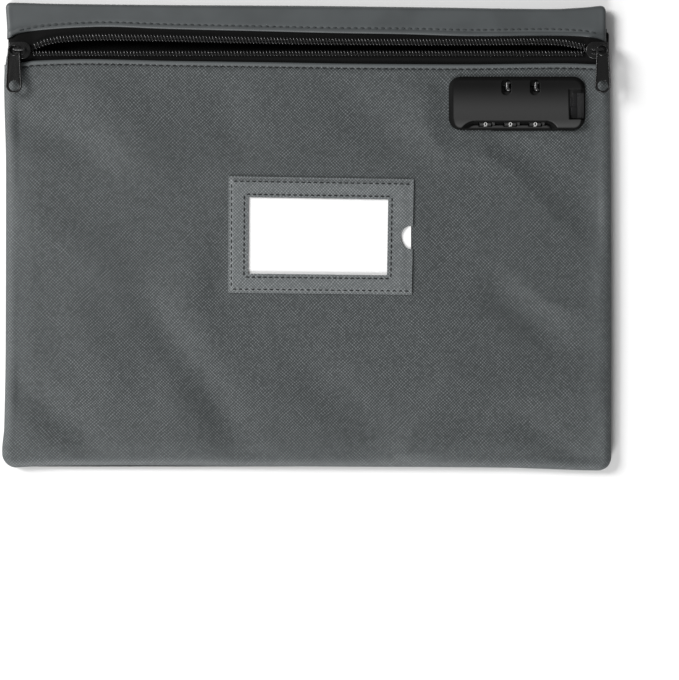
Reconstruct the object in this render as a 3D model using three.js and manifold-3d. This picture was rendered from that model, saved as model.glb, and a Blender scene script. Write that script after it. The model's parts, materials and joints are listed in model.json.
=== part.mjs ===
// A lockable A4 cash deposit bag: a flat pouch with a double zip along its top and a
// three-dial combination lock that holds both pull tabs.
// Millimetres. +Z points up out of the front, +Y towards the zip, +X to the right.
// The bag lies on its back panel, whose underside is z = 0.

import * as THREE from 'three';
import { mergeVertices } from 'three/addons/utils/BufferGeometryUtils.js';
import Module from 'manifold-3d';

const wasm = await Module();
wasm.setup();

// ---------------------------------------------------------------- driving dimensions

const GAP = 0.1; // between pieces stacked face to face
const PAST = 1; // how far a cutter runs past the face that it cuts

const BAG_WIDTH = 355.6;
const BAG_HEIGHT = 272;
const BAG_DEPTH = 8; // back of the bag to the front panel's outer face
const SKIN = 1; // leather with its lining
const CORNER_RADIUS = 8;
const FOLD_RADIUS = 3; // rounding of the front panel's folded sides
const BINDING_WIDTH = 2;
const BINDING_HEIGHT = 3;

const PANEL_TOP_Y = 102.6; // folded top edge of the front panel
const HEADER_EDGE_Y = 119.5; // lower edge of the band above the zip

const ZIP_Y = 109.1; // the line on which the zip closes
const ROW_SPACING = 3.1; // centre to centre of the two coil rows when closed
const ROW_WIDTH = 1.8;
const ROW_BOTTOM_Z = 6.9;
const ROW_TOP_Z = 8.7;
const ROW_END_X = 161.5;
const ROW_BEND_X = 138; // where the open upper row starts to drop towards a slider
const MOUTH_OPENING = 6; // how far the upper row lies from its closed place
const TAPE_END_X = 174.2;
const TAPE_BOTTOM_Z = 6.2;
const TAPE_TOP_Z = 6.8;
const TAPE_HIDDEN = 6.5; // width of tape sewn under the panel or the band

const SLIDER_X = 168.9; // slider centre, from the bag's middle
const SLIDER_LENGTH = 13;
const SLIDER_WIDTH = 10;
const SLIDER_TAIL_WIDTH = 7.2;
const SLIDER_PLATE = 1.2;
const SLIDER_BOTTOM_Z = 4.6;
const SLIDER_TOP_Z = 10.2;
const BAIL_TOP_Z = 13.8;
const BAIL_THICKNESS = 1.0;
const BAIL_OUTER_X = -3.1; // leg that carries the pull, from the slider's centre
const BAIL_INNER_X = 3.4;
const BAIL_LEG_RADIUS = 0.8;

const PULL_BOTTOM_Z = 11;
const PULL_THICKNESS = 1.4;
const PULL_EYE_RADIUS = 3.6;
const PULL_EYE_HOLE_RADIUS = 2.35;
const PULL_END_RADIUS = 4.7;
const PULL_LENGTH = 31;
const PULL_HOLE_RADIUS = 3;
const PULL_HOLE_DROP = 22; // pivot to lock hole

const LOCK_X = 122.1;
const LOCK_Y = 78.25;
const LOCK_WIDTH = 79.8;
const LOCK_HEIGHT = 31.3;
const LOCK_CORNER = 7;
const LOCK_WALL = 1.2;
const FLANGE_BOTTOM_Z = BAG_DEPTH + GAP;
const FLANGE_TOP_Z = 9.3;
const LOCK_TOP_Z = 13;
const LOCK_SHELF_Z = 10.7; // face height under the pulls
const CUTOUT_HALF_WIDTH = 36.2;
const CUTOUT_HALF_HEIGHT = 11.7;
const CUTOUT_CORNER = 4;
const SKIRT_BOTTOM_Z = 6;
const SKIRT_THICKNESS = 0.8;
const SKIRT_CLEARANCE = 0.4;

const DIAL_PITCH = 14.55;
const DIAL_MIDDLE_X = -4.05; // middle dial, from the lock's centre
const DIAL_AXIS_Y = -10.6;
const DIAL_AXIS_Z = 8.3;
const DIAL_RADIUS = 3.8;
const DIAL_WIDTH = 7;
const DIAL_POCKET_RADIUS = 4.15;
const DIAL_POCKET_WIDTH = 7.7;
const DIAL_BAY_BOTTOM_Y = -14.7;
const DIAL_BAY_MARGIN = 4.6; // room past the outer dials for the shaft supports
const LEDGE_Z = 9.9; // floor of the recess that shows the dials
const SHAFT_RADIUS = 0.9;
const SLEEVE_RADIUS = 2.2;
const SLEEVE_BORE = 1.1;
const CAM_RADIUS = 3.4;
const CAM_START = 4.2; // from the dial's centre
const CAM_WIDTH = 1.2;
const CAM_NOTCH = 1;

const HOOK_SPACING = 16.7;
const HOOK_MIDDLE_X = 2.05; // half way between the hooks, from the lock's centre
const HOOK_SLOT_WIDTH = 5.8;
const HOOK_SLOT_BOTTOM_Y = 4.6;
const HOOK_SLOT_TOP_Y = 13.9;
const HOOK_POCKET_Z = 8.9;
const HOOK_TOP_Z = 10.8;
const HOOK_HEAD_BOTTOM_Y = 7.8;
const HOOK_HEAD_TOP_Y = 12.1;

const RELEASE_TRAVEL = 2.2;
const RECESS_LEFT_X = 30.1;
const RECESS_BOTTOM_Y = -10;
const RECESS_TOP_Y = 8.2;
const RELEASE_PLATE_BOTTOM_Z = 9.6;
const RELEASE_PLATE_TOP_Z = 10.2;
const RELEASE_GRIP_TOP_Z = 10.8;

const LATCH_BOTTOM_Z = 4.5;
const LATCH_TOP_Z = 5.5;
const SPRING_START_X = -36.9;
const SPRING_LENGTH = 12.4;

const BACK_PLATE_BOTTOM_Z = 1.6;
const BACK_PLATE_FLOOR_Z = 2.8;
const BACK_PLATE_RIM_Z = 6.9;
const BACK_PLATE_HALF_WIDTH = 38.5;
const BACK_PLATE_LOW_Y = -15.8;
const BACK_PLATE_HIGH_Y = 13.2;
const BACK_PLATE_RIM = 1.2;

const SCREW_PLACES = [[-31, -7.6], [-31, 7.6], [27, -7.6], [27, 7.6]];
const BOSS_RADIUS = 2;
const BOSS_HOLE_RADIUS = 0.9;
const SCREW_RADIUS = 0.75;
const SCREW_HEAD_RADIUS = 1.7;
const SCREW_TIP_Z = 7.4;

const FRAME_LEFT_X = -46.8;
const FRAME_RIGHT_X = 61.7;
const FRAME_BOTTOM_Y = -33.2;
const FRAME_TOP_Y = 35.5;
const FRAME_CORNER = 2.5;
const FRAME_TOP_Z = 9.9;
const FRAME_BOTTOM_Z = 8.9;
const FRAME_SEAM = 2.4; // width that is sewn down to the panel
const WINDOW_LEFT_X = -35.1;
const WINDOW_RIGHT_X = 46.9;
const WINDOW_BOTTOM_Y = -21.7;
const WINDOW_TOP_Y = 22.4;
const NOTCH_HALF_HEIGHT = 6.9;
const NOTCH_DEPTH = 5.6;
const CARD_LEFT_X = -39.9;
const CARD_WIDTH = 100;
const CARD_HEIGHT = 56;
const CARD_BOTTOM_Z = 8.15;
const CARD_THICKNESS = 0.3;
const FILM_BOTTOM_Z = 8.6;
const FILM_THICKNESS = 0.2;

// ---------------------------------------------------------------- materials

function finish(color, roughness, metalness = 0, opacity = 1) {
  return new THREE.MeshStandardMaterial({
    color,
    roughness,
    metalness,
    opacity,
    transparent: opacity < 1,
  });
}

const leather = () => finish('#57595a', 0.6);
const frameLeather = () => finish('#70747a', 0.6);
const tape = () => finish('#151515', 0.9);
const nylon = () => finish('#1c1c1c', 0.4);
const blackMetal = () => finish('#202020', 0.35, 0.6);
const blackPlastic = () => finish('#2b2b2b', 0.45);
const steel = () => finish('#9a9a9a', 0.35, 0.9);

// ---------------------------------------------------------------- geometry helpers

function toSolid(geometry) {
  const bare = geometry.clone();
  bare.deleteAttribute('normal');
  bare.deleteAttribute('uv');
  const merged = mergeVertices(bare, 1e-4);
  const mesh = new wasm.Mesh({
    numProp: 3,
    vertProperties: new Float32Array(merged.attributes.position.array),
    triVerts: new Uint32Array(merged.index.array),
  });
  return new wasm.Manifold(mesh);
}

function toGeometry(solid) {
  const mesh = solid.getMesh();
  const geometry = new THREE.BufferGeometry();
  geometry.setAttribute('position', new THREE.BufferAttribute(mesh.vertProperties, 3));
  geometry.setIndex(new THREE.BufferAttribute(mesh.triVerts, 1));
  geometry.computeVertexNormals();
  return geometry;
}

function join(...geometries) {
  return toGeometry(geometries.map(toSolid).reduce((a, b) => a.add(b)));
}

function cut(geometry, ...cutters) {
  return toGeometry(cutters.map(toSolid).reduce((a, b) => a.subtract(b), toSolid(geometry)));
}

function common(a, b) {
  return toGeometry(toSolid(a).intersect(toSolid(b)));
}

function box(x0, x1, y0, y1, z0, z1) {
  const geometry = new THREE.BoxGeometry(x1 - x0, y1 - y0, z1 - z0);
  return geometry.translate((x0 + x1) / 2, (y0 + y1) / 2, (z0 + z1) / 2);
}

function roundedRect(x0, x1, y0, y1, radius) {
  const shape = new THREE.Shape();
  shape.moveTo(x0 + radius, y0);
  shape.absarc(x1 - radius, y0 + radius, radius, -Math.PI / 2, 0);
  shape.absarc(x1 - radius, y1 - radius, radius, 0, Math.PI / 2);
  shape.absarc(x0 + radius, y1 - radius, radius, Math.PI / 2, Math.PI);
  shape.absarc(x0 + radius, y0 + radius, radius, Math.PI, 1.5 * Math.PI);
  return shape;
}

function outline(points) {
  return new THREE.Shape(points.map(([x, y]) => new THREE.Vector2(x, y)));
}

function prism(shape, z0, z1, curveSegments = 4) {
  const options = { depth: z1 - z0, bevelEnabled: false, curveSegments };
  return new THREE.ExtrudeGeometry(shape, options).translate(0, 0, z0);
}

// A section drawn in Y and Z, run along X from x0 to x1.
function prismAlongX(section, x0, x1) {
  const options = { depth: x1 - x0, bevelEnabled: false };
  const turn = new THREE.Matrix4().makeBasis(
    new THREE.Vector3(0, 1, 0),
    new THREE.Vector3(0, 0, 1),
    new THREE.Vector3(1, 0, 0),
  );
  return new THREE.ExtrudeGeometry(section, options).applyMatrix4(turn).translate(x0, 0, 0);
}

function cylinderZ(x, y, radius, z0, z1, sides = 16) {
  const geometry = new THREE.CylinderGeometry(radius, radius, z1 - z0, sides);
  return geometry.rotateX(Math.PI / 2).translate(x, y, (z0 + z1) / 2);
}

function cylinderX(y, z, radius, x0, x1, sides = 24) {
  const geometry = new THREE.CylinderGeometry(radius, radius, x1 - x0, sides);
  return geometry.rotateZ(Math.PI / 2).translate((x0 + x1) / 2, y, z);
}

// A ring turned about X: each profile point is [distance along X, radius].
function ringAlongX(profile, sides = 20) {
  const closed = [...profile, profile[0]].map(([along, radius]) => new THREE.Vector2(radius, along));
  return new THREE.LatheGeometry(closed, sides).rotateZ(-Math.PI / 2);
}

function piece(name, geometry, material) {
  const mesh = new THREE.Mesh(geometry, material);
  mesh.name = name;
  return mesh;
}

// ---------------------------------------------------------------- the pouch

// A flat tray with rounded sides: the pressed shape of the panel and the band together.
function frontShell() {
  const half = [BAG_WIDTH / 2, BAG_HEIGHT / 2];
  const rounded = (inset, top, radius) => {
    const [w, h] = half.map((side) => side - inset - radius);
    const bottom = -PAST - radius;
    const options = {
      depth: top - bottom - 2 * radius,
      bevelThickness: radius,
      bevelSize: radius,
      bevelSegments: 3,
      curveSegments: 4,
    };
    const shape = roundedRect(-w, w, -h, h, CORNER_RADIUS - FOLD_RADIUS);
    return new THREE.ExtrudeGeometry(shape, options).translate(0, 0, bottom + radius);
  };
  const outer = rounded(0, BAG_DEPTH, FOLD_RADIUS);
  const inner = rounded(SKIN, BAG_DEPTH - SKIN, FOLD_RADIUS - SKIN);
  const [w, h] = half.map((side) => side + PAST);
  const belowSeam = box(-w, w, -h, h, -BAG_DEPTH, SKIN + GAP);
  return cut(outer, inner, belowSeam);
}

function slab(y0, y1) {
  const w = BAG_WIDTH / 2 + PAST;
  return box(-w, w, y0, y1, -PAST, BAG_DEPTH + PAST);
}

// The hole that the lock passes through, with a bay for the dials.
function lockCutout() {
  const main = prism(
    roundedRect(
      -CUTOUT_HALF_WIDTH, CUTOUT_HALF_WIDTH, -CUTOUT_HALF_HEIGHT, CUTOUT_HALF_HEIGHT, CUTOUT_CORNER,
    ),
    BAG_DEPTH - SKIN - PAST,
    BAG_DEPTH + PAST,
  );
  const reach = DIAL_PITCH + DIAL_POCKET_WIDTH / 2 + DIAL_BAY_MARGIN;
  const bay = box(
    DIAL_MIDDLE_X - reach, DIAL_MIDDLE_X + reach, DIAL_BAY_BOTTOM_Y, 0,
    BAG_DEPTH - SKIN - PAST, BAG_DEPTH + PAST,
  );
  return join(main, bay).translate(LOCK_X, LOCK_Y, 0);
}

function frontPanel() {
  const lower = common(frontShell(), slab(-BAG_HEIGHT, PANEL_TOP_Y));
  return piece('front_panel', cut(lower, lockCutout()), leather());
}

function headerBand() {
  const upper = common(frontShell(), slab(HEADER_EDGE_Y, BAG_HEIGHT));
  return piece('header_band', upper, leather());
}

function backPanel() {
  const w = BAG_WIDTH / 2;
  const h = BAG_HEIGHT / 2;
  return piece('back_panel', prism(roundedRect(-w, w, -h, h, CORNER_RADIUS), 0, SKIN), leather());
}

// The bound seam inside the two sides and the bottom.
function edgeBinding() {
  const w = BAG_WIDTH / 2 - SKIN - 2 * GAP;
  const h = BAG_HEIGHT / 2 - SKIN - 2 * GAP;
  const z0 = SKIN + GAP;
  const z1 = z0 + BINDING_HEIGHT;
  const radius = CORNER_RADIUS - SKIN;
  const outer = prism(roundedRect(-w, w, -h, h, radius), z0, z1);
  const [iw, ih] = [w - BINDING_WIDTH, h - BINDING_WIDTH];
  const inner = prism(roundedRect(-iw, iw, -ih, ih, radius - BINDING_WIDTH), z0 - PAST, z1 + PAST);
  const top = box(-w - PAST, w + PAST, HEADER_EDGE_Y, h + PAST, z0 - PAST, z1 + PAST);
  return piece('edge_binding', cut(outer, inner, top), tape());
}

// ---------------------------------------------------------------- the zip

const LOWER_ROW_Y = ZIP_Y - ROW_SPACING / 2;
const UPPER_ROW_Y = ZIP_Y + ROW_SPACING / 2;

// The upper row stands open in the middle and drops to the closed line at each slider.
function upperRowLine(offset) {
  const open = UPPER_ROW_Y + MOUTH_OPENING + offset;
  const shut = UPPER_ROW_Y + offset;
  return [[-ROW_END_X, shut], [-ROW_BEND_X, open], [ROW_BEND_X, open], [ROW_END_X, shut]];
}

function zipperTapeLower() {
  const top = LOWER_ROW_Y + ROW_WIDTH / 2 - GAP;
  const geometry = box(
    -TAPE_END_X, TAPE_END_X, PANEL_TOP_Y - TAPE_HIDDEN, top, TAPE_BOTTOM_Z, TAPE_TOP_Z,
  );
  return piece('zipper_tape_lower', geometry, tape());
}

function zipperTapeUpper() {
  const line = upperRowLine(-ROW_WIDTH / 4);
  const shut = line[0][1];
  const top = HEADER_EDGE_Y + TAPE_HIDDEN;
  const points = [
    [-TAPE_END_X, shut], ...line, [TAPE_END_X, shut], [TAPE_END_X, top], [-TAPE_END_X, top],
  ];
  return piece('zipper_tape_upper', prism(outline(points), TAPE_BOTTOM_Z, TAPE_TOP_Z), tape());
}

function zipperChainLower() {
  const half = ROW_WIDTH / 2;
  const geometry = box(
    -ROW_END_X, ROW_END_X, LOWER_ROW_Y - half, LOWER_ROW_Y + half, ROW_BOTTOM_Z, ROW_TOP_Z,
  );
  return piece('zipper_chain_lower', geometry, nylon());
}

function zipperChainUpper() {
  const half = ROW_WIDTH / 2;
  const points = [...upperRowLine(-half), ...upperRowLine(half).reverse()];
  return piece('zipper_chain_upper', prism(outline(points), ROW_BOTTOM_Z, ROW_TOP_Z), nylon());
}

// The slider's outline from above: a narrow tail at -X and a broad round nose at +X.
function sliderOutline() {
  const tail = SLIDER_TAIL_WIDTH / 2;
  const nose = SLIDER_WIDTH / 2;
  const end = SLIDER_LENGTH / 2;
  const shape = new THREE.Shape();
  shape.moveTo(-end, -tail);
  shape.lineTo(end - nose, -nose);
  shape.absarc(end - nose, 0, nose, -Math.PI / 2, Math.PI / 2);
  shape.lineTo(-end, tail);
  return shape;
}

function sliderBody() {
  const bottom = prism(sliderOutline(), SLIDER_BOTTOM_Z, SLIDER_BOTTOM_Z + SLIDER_PLATE);
  const top = prism(sliderOutline(), SLIDER_TOP_Z - SLIDER_PLATE, SLIDER_TOP_Z);
  const postHalf = ROW_SPACING / 2 - ROW_WIDTH / 2 - 0.3;
  const post = box(2.4, 5.6, -postHalf, postHalf, SLIDER_BOTTOM_Z + 0.2, SLIDER_TOP_Z - 0.2);
  const flangeIn = 2.8;
  const flanges = [-1, 1].map((side) => {
    const [near, far] = [side * flangeIn, side * (SLIDER_TAIL_WIDTH / 2)];
    return box(
      -SLIDER_LENGTH / 2, 0, Math.min(near, far), Math.max(near, far),
      TAPE_TOP_Z + 0.3, SLIDER_TOP_Z - 0.2,
    );
  });
  const legTop = BAIL_TOP_Z - 0.2;
  const legs = [BAIL_OUTER_X, BAIL_INNER_X].map((x) => (
    cylinderZ(x, 0, BAIL_LEG_RADIUS, SLIDER_TOP_Z - 0.2, legTop, 12)
  ));
  const bar = box(
    BAIL_OUTER_X - BAIL_LEG_RADIUS, BAIL_INNER_X + BAIL_LEG_RADIUS,
    -BAIL_LEG_RADIUS, BAIL_LEG_RADIUS, BAIL_TOP_Z - BAIL_THICKNESS, BAIL_TOP_Z,
  );
  return join(bottom, top, post, ...flanges, ...legs, bar);
}

// Origin at the pivot; the tab hangs towards -Y.
function pullTab() {
  const endY = PULL_EYE_RADIUS - PULL_LENGTH + PULL_END_RADIUS;
  const shape = new THREE.Shape();
  shape.absarc(0, 0, PULL_EYE_RADIUS, 0, Math.PI);
  shape.absarc(0, endY, PULL_END_RADIUS, Math.PI, 2 * Math.PI);
  const eye = new THREE.Path().absarc(0, 0, PULL_EYE_HOLE_RADIUS, 0, 2 * Math.PI);
  const hole = new THREE.Path().absarc(0, -PULL_HOLE_DROP, PULL_HOLE_RADIUS, 0, 2 * Math.PI);
  shape.holes.push(eye, hole);
  return prism(shape, PULL_BOTTOM_Z, PULL_BOTTOM_Z + PULL_THICKNESS, 10);
}

// side is -1 for the left slider and 1 for the right one; both noses face the middle.
function sliderWithPull(label, side) {
  const group = new THREE.Group();
  group.position.set(side * SLIDER_X, ZIP_Y, 0);
  const body = piece(`slider_${label}`, sliderBody(), blackMetal());
  body.rotation.z = side > 0 ? Math.PI : 0;
  const pull = piece(`pull_${label}`, pullTab(), blackMetal());
  pull.position.x = -side * BAIL_OUTER_X;
  group.add(body, pull);
  return group;
}

// ---------------------------------------------------------------- the card pocket

const FRAME_MIDDLE_Y = (FRAME_TOP_Y + FRAME_BOTTOM_Y) / 2;

// A leather frame sewn down on three sides, open at the right for the card.
function cardFrame() {
  const plate = prism(
    roundedRect(FRAME_LEFT_X, FRAME_RIGHT_X, FRAME_BOTTOM_Y, FRAME_TOP_Y, FRAME_CORNER),
    FLANGE_BOTTOM_Z,
    FRAME_TOP_Z,
  );
  const pocket = box(
    FRAME_LEFT_X + FRAME_SEAM, FRAME_RIGHT_X + PAST,
    FRAME_BOTTOM_Y + FRAME_SEAM, FRAME_TOP_Y - FRAME_SEAM,
    FLANGE_BOTTOM_Z - PAST, FRAME_BOTTOM_Z,
  );
  const window = prism(
    roundedRect(WINDOW_LEFT_X, WINDOW_RIGHT_X, WINDOW_BOTTOM_Y, WINDOW_TOP_Y, 0.5),
    FRAME_BOTTOM_Z - PAST,
    FRAME_TOP_Z + PAST,
  );
  const thumb = new THREE.Shape();
  thumb.absellipse(
    FRAME_RIGHT_X, FRAME_MIDDLE_Y, NOTCH_DEPTH, NOTCH_HALF_HEIGHT, 0, 2 * Math.PI, false,
  );
  const notch = prism(thumb, FRAME_BOTTOM_Z - PAST, FRAME_TOP_Z + PAST, 8);
  return piece('card_frame', cut(plate, pocket, window, notch), frameLeather());
}

function cardWindow() {
  const inset = FRAME_SEAM + 3 * GAP;
  const geometry = box(
    FRAME_LEFT_X + inset, FRAME_RIGHT_X - NOTCH_DEPTH - 2,
    FRAME_BOTTOM_Y + inset, FRAME_TOP_Y - inset,
    FILM_BOTTOM_Z, FILM_BOTTOM_Z + FILM_THICKNESS,
  );
  return piece('card_window', geometry, finish('#f4f6f6', 0.1, 0, 0.3));
}

function insertCard() {
  const half = CARD_HEIGHT / 2;
  const shape = roundedRect(
    CARD_LEFT_X, CARD_LEFT_X + CARD_WIDTH, FRAME_MIDDLE_Y - half, FRAME_MIDDLE_Y + half, 1,
  );
  const geometry = prism(shape, CARD_BOTTOM_Z, CARD_BOTTOM_Z + CARD_THICKNESS, 2);
  return piece('insert_card', geometry, finish('#fdfdfd', 0.7));
}

// ---------------------------------------------------------------- the combination lock
// Everything below is placed from the middle of the lock.

const DIAL_CENTRES = [-1, 0, 1].map((step) => DIAL_MIDDLE_X + step * DIAL_PITCH);
const HOOK_CENTRES = [-0.5, 0.5].map((step) => HOOK_MIDDLE_X + step * HOOK_SPACING);

// The face's section: a low shelf under the pulls that swells over the dials.
function faceSection(drop) {
  return outline([
    [-14.7 + drop, 0],
    [-14.7 + drop, FLANGE_TOP_Z - drop],
    [-12.9 + drop / 2, 12.2 - drop],
    [-11, LOCK_TOP_Z - drop],
    [-7, LOCK_TOP_Z - drop],
    [-3, 12.2 - drop],
    [0.75, LOCK_SHELF_Z - drop],
    [13.4 - drop / 2, 10.3 - drop],
    [14.6 - drop, FLANGE_TOP_Z - drop],
    [14.6 - drop, 0],
  ]);
}

function hookSlot(x, z0, bottomY, topY) {
  const half = HOOK_SLOT_WIDTH / 2;
  return prism(roundedRect(x - half, x + half, bottomY, topY, half - 0.1), z0, LOCK_TOP_Z + PAST);
}

function lockHousing() {
  const [w, h] = [LOCK_WIDTH / 2, LOCK_HEIGHT / 2];
  const flange = prism(roundedRect(-w, w, -h, h, LOCK_CORNER), FLANGE_BOTTOM_Z, FLANGE_TOP_Z);
  const rim = 2.4;
  const faceOutline = roundedRect(-w + rim, w - rim, -h + 1, h - 1, LOCK_CORNER - 1);
  const face = common(
    prismAlongX(faceSection(0), -w, w),
    prism(faceOutline, FLANGE_BOTTOM_Z + 0.2, LOCK_TOP_Z + PAST),
  );
  const [sw, sh] = [CUTOUT_HALF_WIDTH - SKIRT_CLEARANCE, CUTOUT_HALF_HEIGHT - SKIRT_CLEARANCE];
  const skirt = prism(
    roundedRect(-sw, sw, -sh, sh, CUTOUT_CORNER), SKIRT_BOTTOM_Z, FLANGE_BOTTOM_Z + 0.2,
  );
  const [cw, ch] = [sw - SKIRT_THICKNESS, sh - SKIRT_THICKNESS];
  const well = prism(
    roundedRect(-cw, cw, -ch, ch, CUTOUT_CORNER - SKIRT_THICKNESS),
    SKIRT_BOTTOM_Z - PAST,
    FLANGE_BOTTOM_Z,
  );
  const hollow = common(
    prismAlongX(faceSection(LOCK_WALL), -cw, RECESS_LEFT_X - LOCK_WALL),
    prism(roundedRect(-cw, cw, -ch, ch, CUTOUT_CORNER - SKIRT_THICKNESS), 7, LOCK_TOP_Z),
  );
  const shell = cut(join(flange, face, skirt), well, hollow);

  const bosses = SCREW_PLACES.map(([x, y]) => {
    const roof = (y < 0 ? LOCK_TOP_Z : LOCK_SHELF_Z) - LOCK_WALL;
    return cylinderZ(x, y, BOSS_RADIUS, BACK_PLATE_FLOOR_Z + 0.3, roof + 0.3, 12);
  });
  const bossHoles = SCREW_PLACES.map(([x, y]) => (
    cylinderZ(x, y, BOSS_HOLE_RADIUS, 0, SCREW_TIP_Z + 0.4, 12)
  ));

  const recessTop = [DIAL_MIDDLE_X - 21.2, DIAL_MIDDLE_X + 22.3];
  const recessSlant = 5;
  const dialRecess = prism(
    outline([
      [recessTop[0] - recessSlant, -h - PAST],
      [recessTop[1] + recessSlant, -h - PAST],
      [recessTop[1], -9.4],
      [recessTop[0], -9.4],
    ]),
    LEDGE_Z,
    LOCK_TOP_Z + PAST,
  );
  const dialPockets = DIAL_CENTRES.map((x) => (
    cylinderX(
      DIAL_AXIS_Y, DIAL_AXIS_Z, DIAL_POCKET_RADIUS,
      x - DIAL_POCKET_WIDTH / 2, x + DIAL_POCKET_WIDTH / 2,
    )
  ));
  const shaftTunnel = box(
    DIAL_CENTRES[0] - 8, DIAL_CENTRES[2] + 8.5,
    DIAL_AXIS_Y - CAM_RADIUS - 0.3, -ch + PAST, 0, DIAL_AXIS_Z + 1.1,
  );
  const camRooms = DIAL_CENTRES.map((x) => (
    cylinderX(
      DIAL_AXIS_Y, DIAL_AXIS_Z, CAM_RADIUS + 0.35,
      x + CAM_START - 0.4, x + CAM_START + CAM_WIDTH + 0.4, 16,
    )
  ));

  const slots = HOOK_CENTRES.flatMap((x) => [
    hookSlot(x, HOOK_POCKET_Z, HOOK_SLOT_BOTTOM_Y, HOOK_SLOT_TOP_Y),
    box(
      x - HOOK_SLOT_WIDTH / 2 + 0.3, x + HOOK_SLOT_WIDTH / 2 - 0.3,
      HOOK_SLOT_BOTTOM_Y + 1, ch, 7, HOOK_POCKET_Z + 0.2,
    ),
  ]);

  const releaseRecess = box(
    RECESS_LEFT_X, w + PAST, RECESS_BOTTOM_Y, RECESS_TOP_Y, FLANGE_TOP_Z, LOCK_TOP_Z + PAST,
  );
  const plateDoor = box(
    RECESS_LEFT_X - 2 * LOCK_WALL, RECESS_LEFT_X + PAST,
    RECESS_BOTTOM_Y + 0.4, RECESS_TOP_Y - 1.6,
    FLANGE_TOP_Z, RELEASE_PLATE_TOP_Z + 0.3,
  );
  const stemSlot = box(30.5, 34.8, -4, 0.6, SKIRT_BOTTOM_Z - PAST, FLANGE_TOP_Z + PAST);

  return cut(
    join(shell, ...bosses),
    ...bossHoles, dialRecess, ...dialPockets, shaftTunnel, ...camRooms, ...slots,
    releaseRecess, plateDoor, stemSlot,
  );
}

// The tray that clamps the lock from inside the bag, with two upright shaft supports.
function lockBackPlate() {
  const w = BACK_PLATE_HALF_WIDTH;
  const [low, high] = [BACK_PLATE_LOW_Y, BACK_PLATE_HIGH_Y];
  const tray = prism(roundedRect(-w, w, low, high, 4), BACK_PLATE_BOTTOM_Z, BACK_PLATE_RIM_Z);
  const inset = BACK_PLATE_RIM;
  const room = prism(
    roundedRect(-w + inset, w - inset, low + inset, high - inset, 3),
    BACK_PLATE_FLOOR_Z,
    BACK_PLATE_RIM_Z + PAST,
  );
  const supports = [DIAL_CENTRES[0] - 6.6, DIAL_CENTRES[2] + 7].map((x) => (
    box(x - 0.6, x + 0.6, DIAL_AXIS_Y - 2.6, DIAL_AXIS_Y + 2.6, BACK_PLATE_FLOOR_Z - 0.2, 9)
  ));
  const seats = box(
    DIAL_CENTRES[0] - 9, DIAL_CENTRES[2] + 9, DIAL_AXIS_Y - 1.1, DIAL_AXIS_Y + 1.1,
    DIAL_AXIS_Z - 1.1, LOCK_TOP_Z,
  );
  const holes = SCREW_PLACES.flatMap(([x, y]) => [
    cylinderZ(x, y, SCREW_RADIUS + 0.25, 0, BACK_PLATE_FLOOR_Z + PAST, 12),
    cylinderZ(x, y, SCREW_HEAD_RADIUS + 0.3, 0, BACK_PLATE_FLOOR_Z - 0.4, 12),
  ]);
  return cut(join(cut(tray, room), ...supports), seats, ...holes);
}

function lockScrew() {
  const headTop = BACK_PLATE_FLOOR_Z - 0.6;
  const profile = [
    [0, BACK_PLATE_BOTTOM_Z + 0.1],
    [SCREW_HEAD_RADIUS, BACK_PLATE_BOTTOM_Z + 0.1],
    [SCREW_HEAD_RADIUS, headTop],
    [SCREW_RADIUS, headTop],
    [SCREW_RADIUS, SCREW_TIP_Z - 0.6],
    [0, SCREW_TIP_Z],
  ].map(([radius, z]) => new THREE.Vector2(radius, z));
  const screw = new THREE.LatheGeometry(profile, 12).rotateX(Math.PI / 2);
  const drive = box(-1.1, 1.1, -0.25, 0.25, 0, BACK_PLATE_BOTTOM_Z + 0.45);
  return cut(screw, drive);
}

function dial() {
  const half = DIAL_WIDTH / 2;
  const bore = SLEEVE_RADIUS + 0.2;
  const edge = DIAL_RADIUS - 0.3;
  return ringAlongX([
    [-half, bore], [-half, edge], [-half + 0.3, DIAL_RADIUS],
    [half - 0.3, DIAL_RADIUS], [half, edge], [half, bore],
  ]);
}

// The sleeve that turns with its dial, with a notched cam disc beside the dial.
function dialSleeve() {
  const start = -DIAL_WIDTH / 2 - GAP;
  const end = CAM_START + CAM_WIDTH;
  const turned = ringAlongX([
    [start, SLEEVE_BORE], [start, SLEEVE_RADIUS], [CAM_START, SLEEVE_RADIUS],
    [CAM_START, CAM_RADIUS], [end, CAM_RADIUS], [end, SLEEVE_BORE],
  ]);
  const notch = box(
    CAM_START - PAST, end + PAST, CAM_RADIUS - CAM_NOTCH, CAM_RADIUS + PAST, -0.9, 0.9,
  );
  return cut(turned, notch);
}

// The sliding plate under the face: fingers at the cams, an arm to the release button.
function latchPlate() {
  const plate = prism(
    outline([
      [-24, -6.2], [18, -6.2], [19.5, -5], [36.5, -5], [36.5, 1.2], [19, 1.2], [19, 10],
      [-13, 10], [-24, 4],
    ]),
    LATCH_BOTTOM_Z,
    LATCH_TOP_Z,
  );
  const fingers = DIAL_CENTRES.map((x) => {
    const middle = x + CAM_START + CAM_WIDTH / 2 + RELEASE_TRAVEL / 2;
    return box(
      middle - 0.6, middle + 0.6, DIAL_AXIS_Y + DIAL_RADIUS + 0.3, -5.4,
      LATCH_BOTTOM_Z + 0.2, DIAL_AXIS_Z + 0.6,
    );
  });
  return join(plate, ...fingers);
}

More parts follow.
